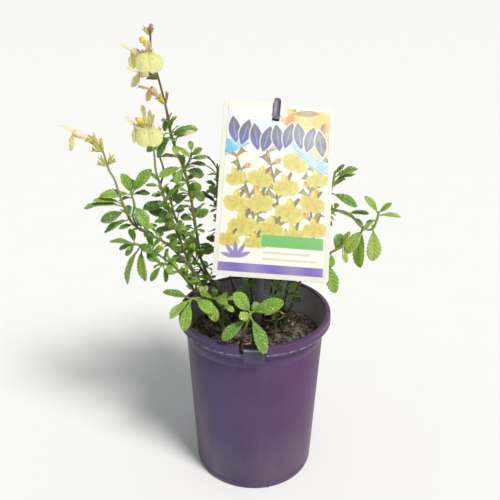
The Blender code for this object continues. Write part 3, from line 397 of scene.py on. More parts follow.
class Bench:
    """Hand tools: picking pieces up, shaping them in edit mode and finishing them."""

    @staticmethod
    def hold(*things: Thing) -> None:
        """Puts everything down and takes up these objects, the first one active.

        Args:
            things: the objects.
        """
        bpy.ops.object.select_all(action="DESELECT")
        for thing in things:
            thing.select_set(True)
        bpy.context.view_layer.objects.active = things[0]

    @staticmethod
    def settled(name: str, thing: Thing | None = None) -> Thing:
        """Names an object, and puts its place into its mesh.

        Args:
            name: its name.
            thing: the object, or None for the one just added.

        Returns:
            The object.
        """
        thing = thing or bpy.context.object
        thing.name = name
        Bench.hold(thing)
        bpy.ops.object.transform_apply(location=True, rotation=True, scale=True)
        return thing

    @staticmethod
    def open(thing: Thing) -> None:
        """Opens an object in edit mode with all of it selected.

        Args:
            thing: the object.
        """
        Bench.hold(thing)
        bpy.ops.object.mode_set(mode="EDIT")
        bpy.ops.mesh.select_all(action="SELECT")

    @staticmethod
    def pick(thing: Thing, test: Callable[[Vector], bool], mode: str) -> None:
        """Opens an object in edit mode with the points, edges or faces of one place selected.

        Args:
            thing: the object.
            test: takes a point, or the middle of an edge or face, in millimetres.
            mode: VERT, EDGE or FACE.
        """
        Bench.open(thing)
        bpy.ops.mesh.select_mode(type=mode)
        bpy.ops.mesh.select_all(action="DESELECT")
        Bench.done()
        mesh = thing.data
        for part in {"VERT": mesh.vertices, "EDGE": mesh.edges, "FACE": mesh.polygons}[mode]:
            corners = [part.co] if mode == "VERT" else [mesh.vertices[k].co for k in part.vertices]
            part.select = bool(test(sum(corners, Vector()) / len(corners) / MM))
        bpy.ops.object.mode_set(mode="EDIT")

    @staticmethod
    def done() -> None:
        """Leaves edit mode."""
        bpy.ops.object.mode_set(mode="OBJECT")

    @staticmethod
    def press(thing: Thing, test: Callable[[Vector], bool], rim: float, shift: Sequence[float]) -> None:
        """Insets the face that a test picks, and moves it.

        Args:
            thing: the object.
            test: takes a face's middle.
            rim: width of the rim that is left, in millimetres.
            shift: the way that the face moves, in millimetres.
        """
        Bench.pick(thing, test, "FACE")
        bpy.ops.mesh.inset(thickness=rim * MM)
        bpy.ops.transform.translate(value=Vector(shift) * MM)
        Bench.done()

    @staticmethod
    def lathe(name: str, rings: Rings, sides: int, close: tuple[bool, bool] = (True, True)) -> Thing:
        """Draws a round form up ring by ring: a circle, extruded and resized about its axis.

        Args:
            name: the object's name.
            rings: (radius, height) of each ring in millimetres, in order.
            sides: points round a ring.
            close: whether the first and the last ring are filled.

        Returns:
            The object, with its place in its mesh.
        """
        radius, height = rings[0]
        bpy.ops.mesh.primitive_circle_add(vertices=sides, radius=radius * MM,
                                          location=(0, 0, height * MM))
        thing = Bench.settled(name)
        Bench.open(thing)
        if close[0]:
            bpy.ops.mesh.edge_face_add()
            bpy.ops.mesh.flip_normals()
        for (r0, h0), (r1, h1) in zip(rings, rings[1:]):
            bpy.ops.mesh.extrude_edges_move(
                TRANSFORM_OT_translate={"value": (0, 0, (h1 - h0) * MM)})
            bpy.ops.transform.resize(value=(r1 / r0, r1 / r0, 1), center_override=(0, 0, h1 * MM))
        if close[1]:
            bpy.ops.mesh.edge_face_add()
        bpy.ops.mesh.select_all(action="SELECT")
        bpy.ops.mesh.normals_make_consistent(inside=False)
        Bench.done()
        return thing

    @staticmethod
    def grid(name: str, columns: int, rows: int) -> Thing:
        """A sheet of faces over 0 to 1 and -1 to 1 (in millimetres), moved there in edit mode.

        Args:
            name: the object's name.
            columns: faces along it.
            rows: faces across it.

        Returns:
            The object.
        """
        bpy.ops.mesh.primitive_grid_add(x_subdivisions=columns, y_subdivisions=rows, size=MM)
        thing = Bench.settled(name)
        Bench.open(thing)
        bpy.ops.transform.resize(value=(1, 2, 1), center_override=(0, 0, 0))
        bpy.ops.transform.translate(value=(MM / 2, 0, 0))
        Bench.done()
        return thing

    @staticmethod
    def box(name: str, low: Sequence[float], high: Sequence[float]) -> Thing:
        """Makes a block between two corners, with its place in its mesh.

        Args:
            name: the object's name.
            low: one corner, in millimetres.
            high: the opposite corner.

        Returns:
            The block.
        """
        low, high = Vector(low), Vector(high)
        bpy.ops.mesh.primitive_cube_add(size=MM, location=(low + high) / 2 * MM)
        bpy.context.object.scale = high - low
        return Bench.settled(name)

    @staticmethod
    def set_out(thing: Thing, radius: float, angle: float, turn: float = 0.0) -> Thing:
        """Moves an object out from the pot's axis, and turns it.

        Args:
            thing: the object, drawn about the origin.
            radius: how far out, in millimetres.
            angle: the way out, from +X.
            turn: how far it turns about its own upright axis.

        Returns:
            The same object, with its place in its mesh.
        """
        thing.location = (radius * MM * math.cos(angle), radius * MM * math.sin(angle), 0)
        thing.rotation_euler = (0, 0, turn)
        return Bench.settled(thing.name, thing)

    @staticmethod
    def modify(thing: Thing, kind: str, **settings: object) -> None:
        """Adds a modifier with its settings and applies it.

        Args:
            thing: the object.
            kind: the modifier's kind.
            settings: values for its properties.
        """
        Bench.hold(thing)
        step = thing.modifiers.new(kind.lower(), kind)
        for key, value in settings.items():
            setattr(step, key, value)
        bpy.ops.object.modifier_apply(modifier=step.name)

    @staticmethod
    def carve(thing: Thing, cutter: Thing) -> None:
        """Cuts an object with another, and removes the second.

        Args:
            thing: the object.
            cutter: the other.
        """
        Bench.modify(thing, "BOOLEAN", object=cutter, operation="DIFFERENCE", solver="EXACT")
        bpy.data.objects.remove(cutter)

    @staticmethod
    def dress(thing: Thing, material: Material, degrees: float) -> Thing:
        """Gives a piece its one material, and smooth shading up to an angle between faces.

        Args:
            thing: the piece.
            material: its material.
            degrees: the angle past which an edge stays sharp.

        Returns:
            The same piece.
        """
        thing.data.materials.clear()
        thing.data.materials.append(material)
        Bench.hold(thing)
        bpy.ops.object.shade_smooth_by_angle(angle=math.radians(degrees))
        return thing

    @staticmethod
    def join(name: str, things: Sequence[Thing]) -> Thing:
        """Joins objects into one piece.

        Args:
            name: the piece's name.
            things: the objects.

        Returns:
            The piece.
        """
        Bench.hold(*things)
        if len(things) > 1:
            bpy.ops.object.join()
        things[0].name = things[0].data.name = name
        return things[0]

    @staticmethod
    def move(thing: Thing, place: Matrix) -> None:
        """Moves an object's points by a matrix.

        Args:
            thing: the object.
            place: the matrix, in millimetres.
        """
        metres = place.copy()
        metres.translation *= MM
        thing.data.transform(metres)


@dataclass(frozen=True)
class Cast:
    """A shape that was modelled once: its points in its own space, and its faces."""

    points: np.ndarray
    faces: list

    @classmethod
    def take(cls, thing: Thing) -> "Cast":
        """Reads a modelled object, and puts the object away.

        Args:
            thing: the object.

        Returns:
            Its cast, in millimetres.
        """
        points = np.array([v.co for v in thing.data.vertices], float) / MM
        faces = [tuple(p.vertices) for p in thing.data.polygons]
        bpy.data.objects.remove(thing)
        return cls(points, faces)


class Heap:
    """Gathers copies of casts, each bent to its place, into one mesh."""

    def __init__(self) -> None:
        """Starts empty."""
        self.points, self.grain, self.tint, self.faces, self.count = [], [], [], [], 0

    def add(self, points: np.ndarray, faces: Sequence, grain: np.ndarray, tint: np.ndarray) -> None:
        """Adds one shape.

        Args:
            points: its points in millimetres.
            faces: its faces, by point.
            grain: two surface coordinates for each point.
            tint: a colour for each point, or one colour for all.
        """
        self.faces += [tuple(k + self.count for k in face) for face in faces]
        self.points.append(np.asarray(points, float))
        self.grain.append(np.asarray(grain, float))
        self.tint.append(np.broadcast_to(np.asarray(tint, float), (len(points), 3)))
        self.count += len(points)

    def make(self, name: str, material: Material, thick: float = 0.0) -> Thing:
        """Writes the mesh, with the UV map "grain" and the colour "tint", and dresses it.

        Args:
            name: the object's name.
            material: its material.
            thick: how far the shapes are thickened downwards, in millimetres.

        Returns:
            The object.
        """
        mesh = bpy.data.meshes.new(name)
        mesh.from_pydata((np.concatenate(self.points) * MM).tolist(), [], self.faces)
        corner = np.empty(len(mesh.loops), np.int64)
        mesh.loops.foreach_get("vertex_index", corner)
        layer = mesh.uv_layers.new(name="grain")
        layer.data.foreach_set("uv", np.concatenate(self.grain)[corner].ravel())
        colour = mesh.color_attributes.new("tint", "FLOAT_COLOR", "POINT")
        rgba = np.ones((self.count, 4))
        rgba[:, :3] = np.concatenate(self.tint)
        colour.data.foreach_set("color", rgba.ravel())
        mesh.materials.append(material)
        mesh.shade_smooth()
        mesh.update()
        thing = bpy.data.objects.new(name, mesh)
        bpy.context.scene.collection.objects.link(thing)
        if thick:
            Bench.modify(thing, "SOLIDIFY", thickness=thick * MM, offset=-1.0)
        return thing


@dataclass(frozen=True)
class Wire:
    """A value in a material's nodes, with plain arithmetic."""

    mix: "Recipe"
    socket: bpy.types.NodeSocket

    def math(self, operation: str, *others: object) -> "Wire":
        """The result of a Math node that takes this value first."""
        return self.mix.wire("Math", (self, *others), operation=operation)

    def band(self, low: float, high: float, start: float = 0.0, end: float = 1.0) -> "Wire":
        """The value carried from one range to another, softly and no further."""
        return self.mix.wire("MapRange", (self, low, high, start, end),
                             interpolation_type="SMOOTHSTEP")

    def __add__(self, other: object) -> "Wire":
        """The sum."""
        return self.math("ADD", other)

    def __sub__(self, other: object) -> "Wire":
        """The difference."""
        return self.math("SUBTRACT", other)

    def __mul__(self, other: object) -> "Wire":
        """The product."""
        return self.math("MULTIPLY", other)

    def __abs__(self) -> "Wire":
        """The value without its sign."""
        return self.math("ABSOLUTE")


class Recipe:
    """A material's nodes, with short names for the kinds that the finishes use."""

    def __init__(self, name: str, roughness: float, **constants: object) -> None:
        """Starts a material with its own shader.

        Args:
            name: the material's name.
            roughness: the shader's roughness.
            constants: values for other sockets of the shader, by name with underscores.
        """
        self.material = bpy.data.materials.new(name)
        self.material.use_nodes = True
        self.tree = self.material.node_tree
        self.shader = self.tree.nodes["Principled BSDF"]
        for key, value in {"Roughness": roughness, **constants}.items():
            self.shader.inputs[key.replace("_", " ")].default_value = value
        self.place = self.wire("TexCoord", output="Object")

    def feed(self, socket: bpy.types.NodeSocket, value: object) -> None:
        """Links a socket to a wire, or sets it."""
        if isinstance(value, Wire):
            self.tree.links.new(value.socket, socket)
        elif socket.type == "RGBA":
            socket.default_value = (*value, 1.0)
        else:
            socket.default_value = value

    def wire(self, kind: str, inputs: dict | Sequence = (), output: int | str = 0, **settings: object
             ) -> Wire:
        """Adds a node.

        Args:
            kind: its kind, such as TexNoise.
            inputs: values or wires for its sockets, in order or by name.
            output: which of its outputs is wanted.
            settings: its properties.

        Returns:
            That output.
        """
        made = self.tree.nodes.new("ShaderNode" + kind)
        for key, value in settings.items():
            setattr(made, key, value)
        for key, value in inputs.items() if isinstance(inputs, dict) else enumerate(inputs):
            self.feed(made.inputs[key], value)
        return Wire(self, made.outputs[output])

    def axes(self, place: Wire) -> tuple[Wire, ...]:
        """The three parts of a place."""
        return tuple(self.wire("SeparateXYZ", (place,), axis) for axis in "XYZ")

    def grain(self) -> tuple[Wire, ...]:
        """The two surface coordinates of the piece."""
        return self.axes(self.wire("UVMap", output="UV", uv_map="grain"))[:2]

    def tint(self) -> Wire:
        """The colour kept on the piece's points."""
        return self.wire("Attribute", output="Color", attribute_name="tint")

    def noise(self, scale: float, detail: float = 2.0, roughness: float = 0.5,
              stretch: tuple | None = None) -> Wire:
        """Noise from 0 to 1 in patches of about 1 / scale metres, stretched where that is asked."""
        place = self.wire("Mapping", {"Vector": self.place, "Scale": stretch}) if stretch else self.place
        return self.wire("TexNoise", {"Vector": place, "Scale": scale, "Detail": detail,
                                      "Roughness": roughness}, "Fac")

    def coats(self, colour: object, *coats: tuple[object, object]) -> Wire:
        """A colour under coats, each given as its own colour and its share."""
        for coat, share in coats:
            colour = self.wire("Mix", {0: share, 6: colour, 7: coat}, 2, data_type="RGBA")
        return colour

    def finish(self, colour: Wire, height: Wire | None = None, depth: float = 0.0002,
               roughness: Wire | None = None) -> Material:
        """Connects what the shader shows.

        Args:
            colour: the base colour.
            height: the relief, from 0 to 1.
            depth: how deep the relief is, in metres.
            roughness: roughness from place to place.

        Returns:
            The material.
        """
        self.feed(self.shader.inputs["Base Color"], colour)
        if height:
            relief = self.wire("Bump", {"Distance": depth, "Height": height})
            self.feed(self.shader.inputs["Normal"], relief)
            self.feed(self.shader.inputs["Coat Normal"], relief)
        if roughness:
            self.feed(self.shader.inputs["Roughness"], roughness)
        return self.material


@dataclass(frozen=True)
class PotPlastic:
    """Moulded purple plastic: a satin skin with faint flow marks and dust, painted shade on its left side, a
    broken pale line at the skirt's lower edge that is rubbed wear and a painted highlight, and an inner wall
    painted pale grey, partly dust and partly painted light.
    """

    base: Colour = paint("54335c")
    # cooler purple of the left side: painted shade
    shade_side_tint: Colour = paint("4b3b62")
    pale: Colour = paint("66507f")
    # painted shade on the left side
    shade_side_dark: Colour = paint("2b2830")
    dirt: Colour = paint("91867c")
    # inner wall colour: partly dust, partly painted light
    inner_dust_and_glare: Colour = paint("a09ca4")
    # pale line at the skirt's lower edge: rubbed wear and a painted highlight
    worn: Colour = paint("b9aec6")
    skirt: float = 0.1567

    @staticmethod
    def inside(across: Wire, up: Wire) -> Wire:
        """How much of a place belongs to the wall's inner face.

        Args:
            across: distance from the axis, in metres.
            up: height.

        Returns:
            The share.
        """
        wall = up * WALL_TAPER + (WALL_FOOT - 0.6) * MM
        rim = (up * 0.45 - 0.00425).math("MINIMUM", 0.0662)
        return (wall.math("MAXIMUM", rim) - across).band(0.0, 0.0001) * up.band(0.1642, 0.1622)

    def make(self) -> Material:
        """Mixes the finish.

        Returns:
            The material.
        """
        mix = Recipe("pot_plastic", 0.45, Specular_IOR_Level=0.35)
        side, front, up = mix.axes(mix.place)
        across = (side * side + front * front).math("SQRT")
        cloud = mix.noise(22.0, 4.0, 0.6)
        marks = mix.noise(60.0, 3.0, 0.6, (1.0, 1.0, 0.12))
        specks = mix.noise(700.0, 3.0, 0.7).band(0.6, 0.7)
        # gaps in the skirt's pale edge line of rubbed wear and painted highlight
        broken_wear_highlight = mix.noise(260.0, 3.0, 0.7).band(0.42, 0.56)
        dust = (up.band(0.075, 0.0) * cloud.band(0.3, 0.65)).math(
            "MAXIMUM", abs(side).band(0.048, 0.066, 0.0, 0.9))
        colour = mix.coats(
            # painted shade: the left side is a cooler, greyer purple than the right
            self.shade_side_tint,
            (self.base, side.band(-0.03, 0.03)),
            (self.pale, cloud.band(0.3, 0.75, 0.0, 0.22)),
            (self.pale, marks.band(0.55, 0.8, 0.0, 0.25)),
            # painted shade: the left side darkened further, broken up by the cloud noise
            (self.shade_side_dark, side.band(-0.034, -0.058, 0.0, 0.6) * cloud.band(0.2, 0.6, 0.6, 1.0)),
            (self.dirt, dust * specks * 0.75),
            (self.dirt, dust * 0.14),
            # rubbed wear and a painted highlight: a broken pale line along the skirt's lower edge
            (self.worn, abs(up - self.skirt).band(0.0008, 0.0002) * across.band(0.069, 0.0698) * broken_wear_highlight),
            # the inner wall painted pale grey: partly dust, partly painted light for the glare on it
            (self.inner_dust_and_glare, self.inside(across, up)))
        height = mix.noise(1400.0) * 0.5 + cloud * 0.8
        return mix.finish(colour, height, 0.00007, marks.band(0.3, 0.8, 0.38, 0.55))


@dataclass(frozen=True)
class PottingMixFinish:
    """Dark, slightly moist bark mix, crumbly at every size."""

    dark: Colour = paint("38322c")
    light: Colour = paint("877c6e")
    damp: Colour = paint("4a423a")

    def make(self) -> Material:
        """Mixes the finish.

        Returns:
            The material.
        """
        mix = Recipe("potting_mix", 0.9, Specular_IOR_Level=0.3)
        crumb, patch = mix.noise(420.0, 6.0, 0.7), mix.noise(60.0, 3.0, 0.6)
        colour = mix.coats(self.dark, (self.light, crumb.band(0.38, 0.68)),
                           (self.damp, patch.band(0.5, 0.75, 0.0, 0.5)))
        return mix.finish(colour, crumb, 0.0012, patch.band(0.3, 0.7, 0.75, 0.98))


@dataclass(frozen=True)
class TintedGrit:
    """Bark chips, fibres and pale grains, each of its own colour."""

    pores: Colour = paint("1c130e")

    def make(self) -> Material:
        """Mixes the finish.

        Returns:
            The material.
        """
        mix = Recipe("bark_and_grains", 0.85, Specular_IOR_Level=0.3)
        fibre = mix.noise(900.0, 4.0, 0.65)
        colour = mix.coats(mix.tint(), (self.pores, fibre.band(0.35, 0.75, 0.55, 0.0)))
        return mix.finish(colour, fibre, 0.0004)


@dataclass(frozen=True)
class PrintedCard:
    """Coated card print: a soft gloss over ink with a faint screen grain."""

    screen: Colour = paint("8f8c80")
    rubbed: Colour = paint("f4f2e6")

    def make(self) -> Material:
        """Mixes the finish.

        Returns:
            The material.
        """
        mix = Recipe("card_print", 0.38, Specular_IOR_Level=0.5, Coat_Weight=0.25, Coat_Roughness=0.22)
        grain, worn = mix.noise(1500.0), mix.noise(30.0, 4.0, 0.6)
        colour = mix.coats(mix.tint(), (self.screen, grain.band(0.3, 0.7, 0.06, 0.0)),
                           (self.rubbed, worn.band(0.55, 0.85, 0.0, 0.06)))
        return mix.finish(colour, grain, 0.00003, worn.band(0.3, 0.7, 0.3, 0.48))


@dataclass(frozen=True)
class CardStock:
    """The card's bare plastic: edges, border and back."""

    clean: Colour = paint("ebe9dd")
    handled: Colour = paint("dddbcc")

    def make(self) -> Material:
        """Mixes the finish.

        Returns:
            The material.
        """
        mix = Recipe("card_stock", 0.4, Specular_IOR_Level=0.5)
        smudge = mix.noise(26.0, 4.0, 0.6)
        colour = mix.coats(self.clean, (self.handled, smudge.band(0.35, 0.8)))
        return mix.finish(colour, mix.noise(900.0), 0.00004, smudge.band(0.3, 0.7, 0.34, 0.5))


@dataclass(frozen=True)
class StakePlastic:
    """Satin grey-purple plastic of the label's stake: its clip's top edge paler as rubbed wear and as a
    painted highlight, and painted shade darkening the strip under the card.
    """

    base: Colour = paint("38324a")
    pale: Colour = paint("645d7a")
    # the clip's top edge: rubbed wear and a painted highlight
    rubbed: Colour = paint("a39fb4")
    # painted shade colour for the strip under the card
    strip_shade: Colour = paint("1a171d")

    def make(self) -> Material:
        """Mixes the finish.

        Returns:
            The material.
        """
        mix = Recipe("stake_plastic", 0.38, Specular_IOR_Level=0.5)
        _, front, up = mix.axes(mix.place)
        cloud, lines = mix.noise(55.0, 4.0, 0.6), mix.noise(420.0, stretch=(6.0, 1.0, 0.35))
        colour = mix.coats(
            self.base,
            (self.pale, cloud.band(0.35, 0.75, 0.0, 0.35)),
            (self.pale, lines.band(0.62, 0.78, 0.0, 0.3)),
            # rubbed wear and a painted highlight along the clip's top edge
            (self.rubbed, up.band(0.1606, 0.1622) * front.band(-0.0672, -0.069) * 0.7),
            # painted shade: the strip under the card darkened
            (self.strip_shade, up.band(0.24, 0.215) * front.band(-0.0665, -0.0655) * 0.85))
        return mix.finish(colour, lines, 0.00006, cloud.band(0.3, 0.7, 0.3, 0.46))


@dataclass(frozen=True)
class LeafSkin:
    """A leaf's face: paler midrib and side veins, puckered skin between them, soft gloss, painted shade in
    the grooves beside the side veins and painted glints between them.
    """

    name: str
    vein: Colour
    vein_share: float
    roughness: float
    gloss: float
    shade: Colour = paint("1b3512")
    glint: Colour = paint("e6efbe")

    def make(self) -> Material:
        """Mixes the finish.

        Returns:
            The material.
        """
        mix = Recipe(self.name, self.roughness, Specular_IOR_Level=0.3, Coat_Weight=self.gloss,
                     Coat_Roughness=0.12)
        along, across = mix.grain()
        out = abs(across * 2.0 - 1.0)
        phase = (along - out * VEIN_SLANT) * VEIN_PAIRS
        part = abs((phase + 0.5).math("FRACT") - 0.5)
        veins = (part.band(0.05, 0.01) * out.band(1.0, 0.6, 0.1, 0.5)).math("MAXIMUM",
                                                                            out.band(0.1, 0.03))
        # painted shade in the grooves beside the side veins
        groove_shade = part.band(0.16, 0.03) * out.band(0.9, 0.5, 0.1, 0.6)
        mottle = mix.noise(160.0, 4.0, 0.6)
        # painted glints: pale spots between the veins
        glint_spots = mix.noise(780.0, 3.0, 0.6).band(0.5, 0.64) * mottle.band(0.44, 0.58, 0.15, 1.0)
        dark = mix.coats(mix.tint(), (self.shade, 0.6))
        colour = mix.coats(
            mix.tint(),
            (dark, mottle.band(0.35, 0.7, 0.0, 0.3)),
            (dark, groove_shade * (0.6 * self.gloss)),
            (self.vein, veins * self.vein_share),
            (self.glint, glint_spots * part.band(0.1, 0.3) * (0.7 * self.gloss)))
        cells = mix.wire("TexVoronoi", {"Vector": mix.place, "Scale": 900.0}, "Distance",
                         feature="DISTANCE_TO_EDGE")
        height = cells.band(0.0, 0.25) * 0.35 - veins + mottle * 1.2
        rough = mottle.band(0.3, 0.7, self.roughness - 0.08, self.roughness + 0.1)
        return mix.finish(colour, height, 0.0005, rough)


@dataclass(frozen=True)
class StemSkin:
    """Stem and calyx skin: lengthwise ribs, small blotches and a downy sheen."""

    name: str
    ribs: float
    thin: bool = False
    ridge: Colour = paint("e8e4b0")
    blotched: Colour = paint("5d3a22")

    def make(self) -> Material:
        """Mixes the finish.

        Returns:
            The material.
        """
        mix = Recipe(self.name, 0.55, Specular_IOR_Level=0.35, Sheen_Weight=0.2,
                     Sheen_Roughness=0.5, **(THIN if self.thin else {}))
        streak = (mix.grain()[1] * (self.ribs * 2 * math.pi)).math("SINE").band(0.2, 1.0)
        blotch = mix.noise(240.0, 4.0, 0.65)
        colour = mix.coats(
            mix.tint(), (mix.coats(mix.tint(), (self.ridge, 0.4)), streak * 0.3),
            (self.blotched, blotch.band(0.55, 0.8, 0.0, 0.12 if self.thin else 0.4)))
        return mix.finish(colour, streak + blotch * 0.6, 0.00025)


@dataclass(frozen=True)
class LipSkin:
    """The lip of a flower: pale yellow with fine veins that spread from a deeper throat, and painted shade
    down its middle crease.
    """

    vein: Colour = paint("b5b050")
    throat: Colour = paint("cdb148")
    # darker middle crease: painted shade
    fold: Colour = paint("b3a548")
    spot: Colour = paint("7c783c")

    def make(self) -> Material:
        """Mixes the finish.

        Returns:
            The material.
        """
        mix = Recipe("petal_lip", 0.62, Specular_IOR_Level=0.25, Sheen_Weight=0.2,
                     Sheen_Roughness=0.5, **THIN)
        across, down = mix.grain()
        x, y = across - 0.5, down + 0.12
        angle, reach = x.math("ARCTAN2", y), (x * x + y * y).math("SQRT")
        stray = mix.noise(260.0, 3.0)
        veins = (angle * 34.0 + stray * 7.0).math("SINE").band(0.55, 1.0)
        coats = [(self.vein, veins * reach.band(1.15, 0.5) * 0.26),
                 (self.throat, reach.band(0.3, 0.1, 0.0, 0.45)),
                 # painted shade down the middle crease
                 (self.fold, abs(x).band(0.03, 0.004) * down.band(0.95, 0.3, 0.15, 0.4))]
        for middle in (-0.14, 0.16):
            aside, below = x - middle, (down - 0.31) * 0.75
            away = (aside * aside + below * below).math("SQRT")
            coats.append((self.spot, away.band(0.045, 0.015, 0.0, 0.65)))
        return mix.finish(mix.coats(mix.tint(), *coats), stray * 0.5 - veins, 0.00018)


@dataclass(frozen=True)
class HoodSkin:
    """Tube, hood and buds: peach cream with darker veins along the petal."""

    name: str
    vein: Colour
    lines: float = 9.0

    def make(self) -> Material:
        """Mixes the finish.

        Returns:
            The material.
        """
        mix = Recipe(self.name, 0.6, Specular_IOR_Level=0.3, Sheen_Weight=0.2, Sheen_Roughness=0.45,
                     **THIN)
        along, across = mix.grain()
        stray = mix.noise(220.0, 3.0)
        wave = (across * (self.lines * 2 * math.pi) + stray * 4.0).math("SINE")
        veins = wave.band(0.6, 1.0) * along.band(1.0, 0.2, 0.02, 0.12)
        colour = mix.coats(mix.tint(), (self.vein, veins), (self.vein, stray.band(0.5, 0.8, 0.0, 0.08)))
        return mix.finish(colour, stray - veins)


@dataclass(frozen=True)
class StudioFloor:
    """A plain pale floor with a trace of paper grain."""

    darker: Colour = (0.91, 0.91, 0.905)
    lighter: Colour = (0.935, 0.935, 0.93)

    def make(self) -> Material:
        """Mixes the finish.

        Returns:
            The material.
        """
        mix = Recipe("studio_floor", 0.8, Specular_IOR_Level=0.1)
        return mix.finish(mix.coats(self.darker, (self.lighter, mix.noise(14.0, 3.0))))


def smooth_route(route: Sequence, step: float) -> list[Vector]:
    """Points about every step millimetres along a curve through a route.

    Args:
        route: the points that the curve passes.
        step: distance between the points that come back.

    Returns:
        The points, evenly spaced.
    """
    knots = [Vector(p) for p in route]
    knots = [2 * knots[0] - knots[1], *knots, 2 * knots[-1] - knots[-2]]
    fine = []
    for a, b, c, d in zip(knots, knots[1:], knots[2:], knots[3:]):
        for k in range(16):
            t = k / 16
            fine.append(0.5 * (2 * b + (c - a) * t + (2 * a - 5 * b + 4 * c - d) * t * t
                               + (3 * b - a - 3 * c + d) * t ** 3))
    fine.append(knots[-2])
    lengths = [0.0]
    for p, q in zip(fine, fine[1:]):
        lengths.append(lengths[-1] + (q - p).length)
    count = max(1, round(lengths[-1] / step))
    points, place = [], 0
    for k in range(count + 1):
        target = lengths[-1] * k / count
        while place < len(fine) - 2 and lengths[place + 1] < target:
            place += 1
        share = (target - lengths[place]) / (lengths[place + 1] - lengths[place])
        points.append(fine[place].lerp(fine[place + 1], min(1.0, share)))
    return points


def along(points: Sequence[Vector], share: float) -> Vector:
    """The point at a share of the way along evenly spaced points.

    Args:
        points: the points.
        share: how far along them, from 0 to 1.

    Returns:
        The point.
    """
    place = share * (len(points) - 1)
    low = min(int(place), len(points) - 2)
    return points[low].lerp(points[low + 1], place - low)


@dataclass(frozen=True)
class Seat:
    """A place on the plant with its own axes: forward, side and upward."""

    base: Vector
    forward: Vector
    side: Vector
    upward: Vector

    @classmethod
    def turned(cls, base: Vector, turn: float, rise: float, roll: float = 0.0) -> "Seat":
        """Sets up a seat.

        Args:
            base: its place.
            turn: its direction, in degrees round from +X.
            rise: degrees above level.
            roll: degrees about its own way forward.

        Returns:
            The seat.
        """
        a, e, r = math.radians(turn), math.radians(rise), math.radians(roll)
        forward = Vector((math.cos(a) * math.cos(e), math.sin(a) * math.cos(e), math.sin(e)))
        level = Vector((-math.cos(a) * math.sin(e), -math.sin(a) * math.sin(e), math.cos(e)))
        upward = level * math.cos(r) + forward.cross(level) * math.sin(r)
        return cls(base, forward, upward.cross(forward), upward)

    def shifted(self, ahead: float, up: float = 0.0) -> "Seat":
        """The same axes at a place ahead of the base and above it."""
        return replace(self, base=self.base + self.forward * ahead + self.upward * up)

    def put(self, x: np.ndarray, y: np.ndarray, z: np.ndarray) -> np.ndarray:
        """Points at distances along the seat's axes."""
        base, forward, side, upward = (np.array(v) for v in (self.base, self.forward, self.side,
                                                             self.upward))
        return base + np.outer(x, forward) + np.outer(y, side) + np.outer(z, upward)


def ring_faces(rings: int, sides: int, flip: bool = False) -> list[tuple[int, ...]]:
    """Faces of a closed tube whose points go round ring by ring.

    Args:
        rings: how many rings it has.
        sides: points round each.
        flip: whether its faces are turned about.

    Returns:
        The faces, by point.
    """
    faces = [(k * sides + j, k * sides + (j + 1) % sides, (k + 1) * sides + (j + 1) % sides,
              (k + 1) * sides + j) for k in range(rings - 1) for j in range(sides)]
    faces += [tuple(range(sides))[::-1], tuple(range((rings - 1) * sides, rings * sides))]
    return [face[::-1] for face in faces] if flip else faces


def tube_points(line: Sequence[Vector], radii: Sequence[float], sides: int, square: float = 0.0
                ) -> Shape:
    """A closed tube round a line.

    Args:
        line: points along its middle.
        radii: the tube's radius at each point.
        sides: points round the tube.
        square: how far its section goes from round towards square.

    Returns:
        (points, faces, grain), with grain along the tube in centimetres and around it from 0 to 1.
    """
    points, grain = [], []
    previous, way = None, 0.0
    for k, (centre, radius) in enumerate(zip(line, radii)):
        ahead = (line[min(k + 1, len(line) - 1)] - line[max(k - 1, 0)]).normalized()
        previous = previous or ahead.orthogonal().normalized()
        previous = (previous - ahead * previous.dot(ahead)).normalized()
        other = ahead.cross(previous)
        way += (centre - line[k - 1]).length / 10 if k else 0.0
        for j in range(sides):
            a = 2 * math.pi * j / sides
            reach = float(radius) * (1 + square * math.cos(4 * a))
            points.append(centre + reach * (math.cos(a) * previous + math.sin(a) * other))
            grain.append((way, j / sides))
    return np.array(points), ring_faces(len(line), sides), np.array(grain)


def petal_tube(seat: Seat, knots: Rings, rings: int, sides: int, tall: float, swell: Callable
               ) -> tuple[np.ndarray, list, np.ndarray]:
    """A closed tube of joined petals round a seat's axis.

    Args:
        seat: its place.
        knots: (distance ahead, radius) at places along it.
        rings: rings along it.
        sides: points round it.
        tall: its height as a share of its width.
        swell: takes distances ahead and angles, and gives how much wider it is there.

    Returns:
        (points, faces, each ring's distance ahead).
    """
    ways = np.linspace(0, len(knots) - 1, rings)
    ahead, radius = (np.interp(ways, range(len(knots)), column) for column in zip(*knots))
    radius[1:-1] = (radius[:-2] + 2 * radius[1:-1] + radius[2:]) / 4
    way, a = np.repeat(ahead, sides), np.tile(2 * np.pi * np.arange(sides) / sides, rings)
    reach = np.repeat(radius, sides) * swell(way, a)
    points = seat.put(way, reach * np.sin(a), reach * np.cos(a) * tall)
    return points, ring_faces(rings, sides, True), ahead


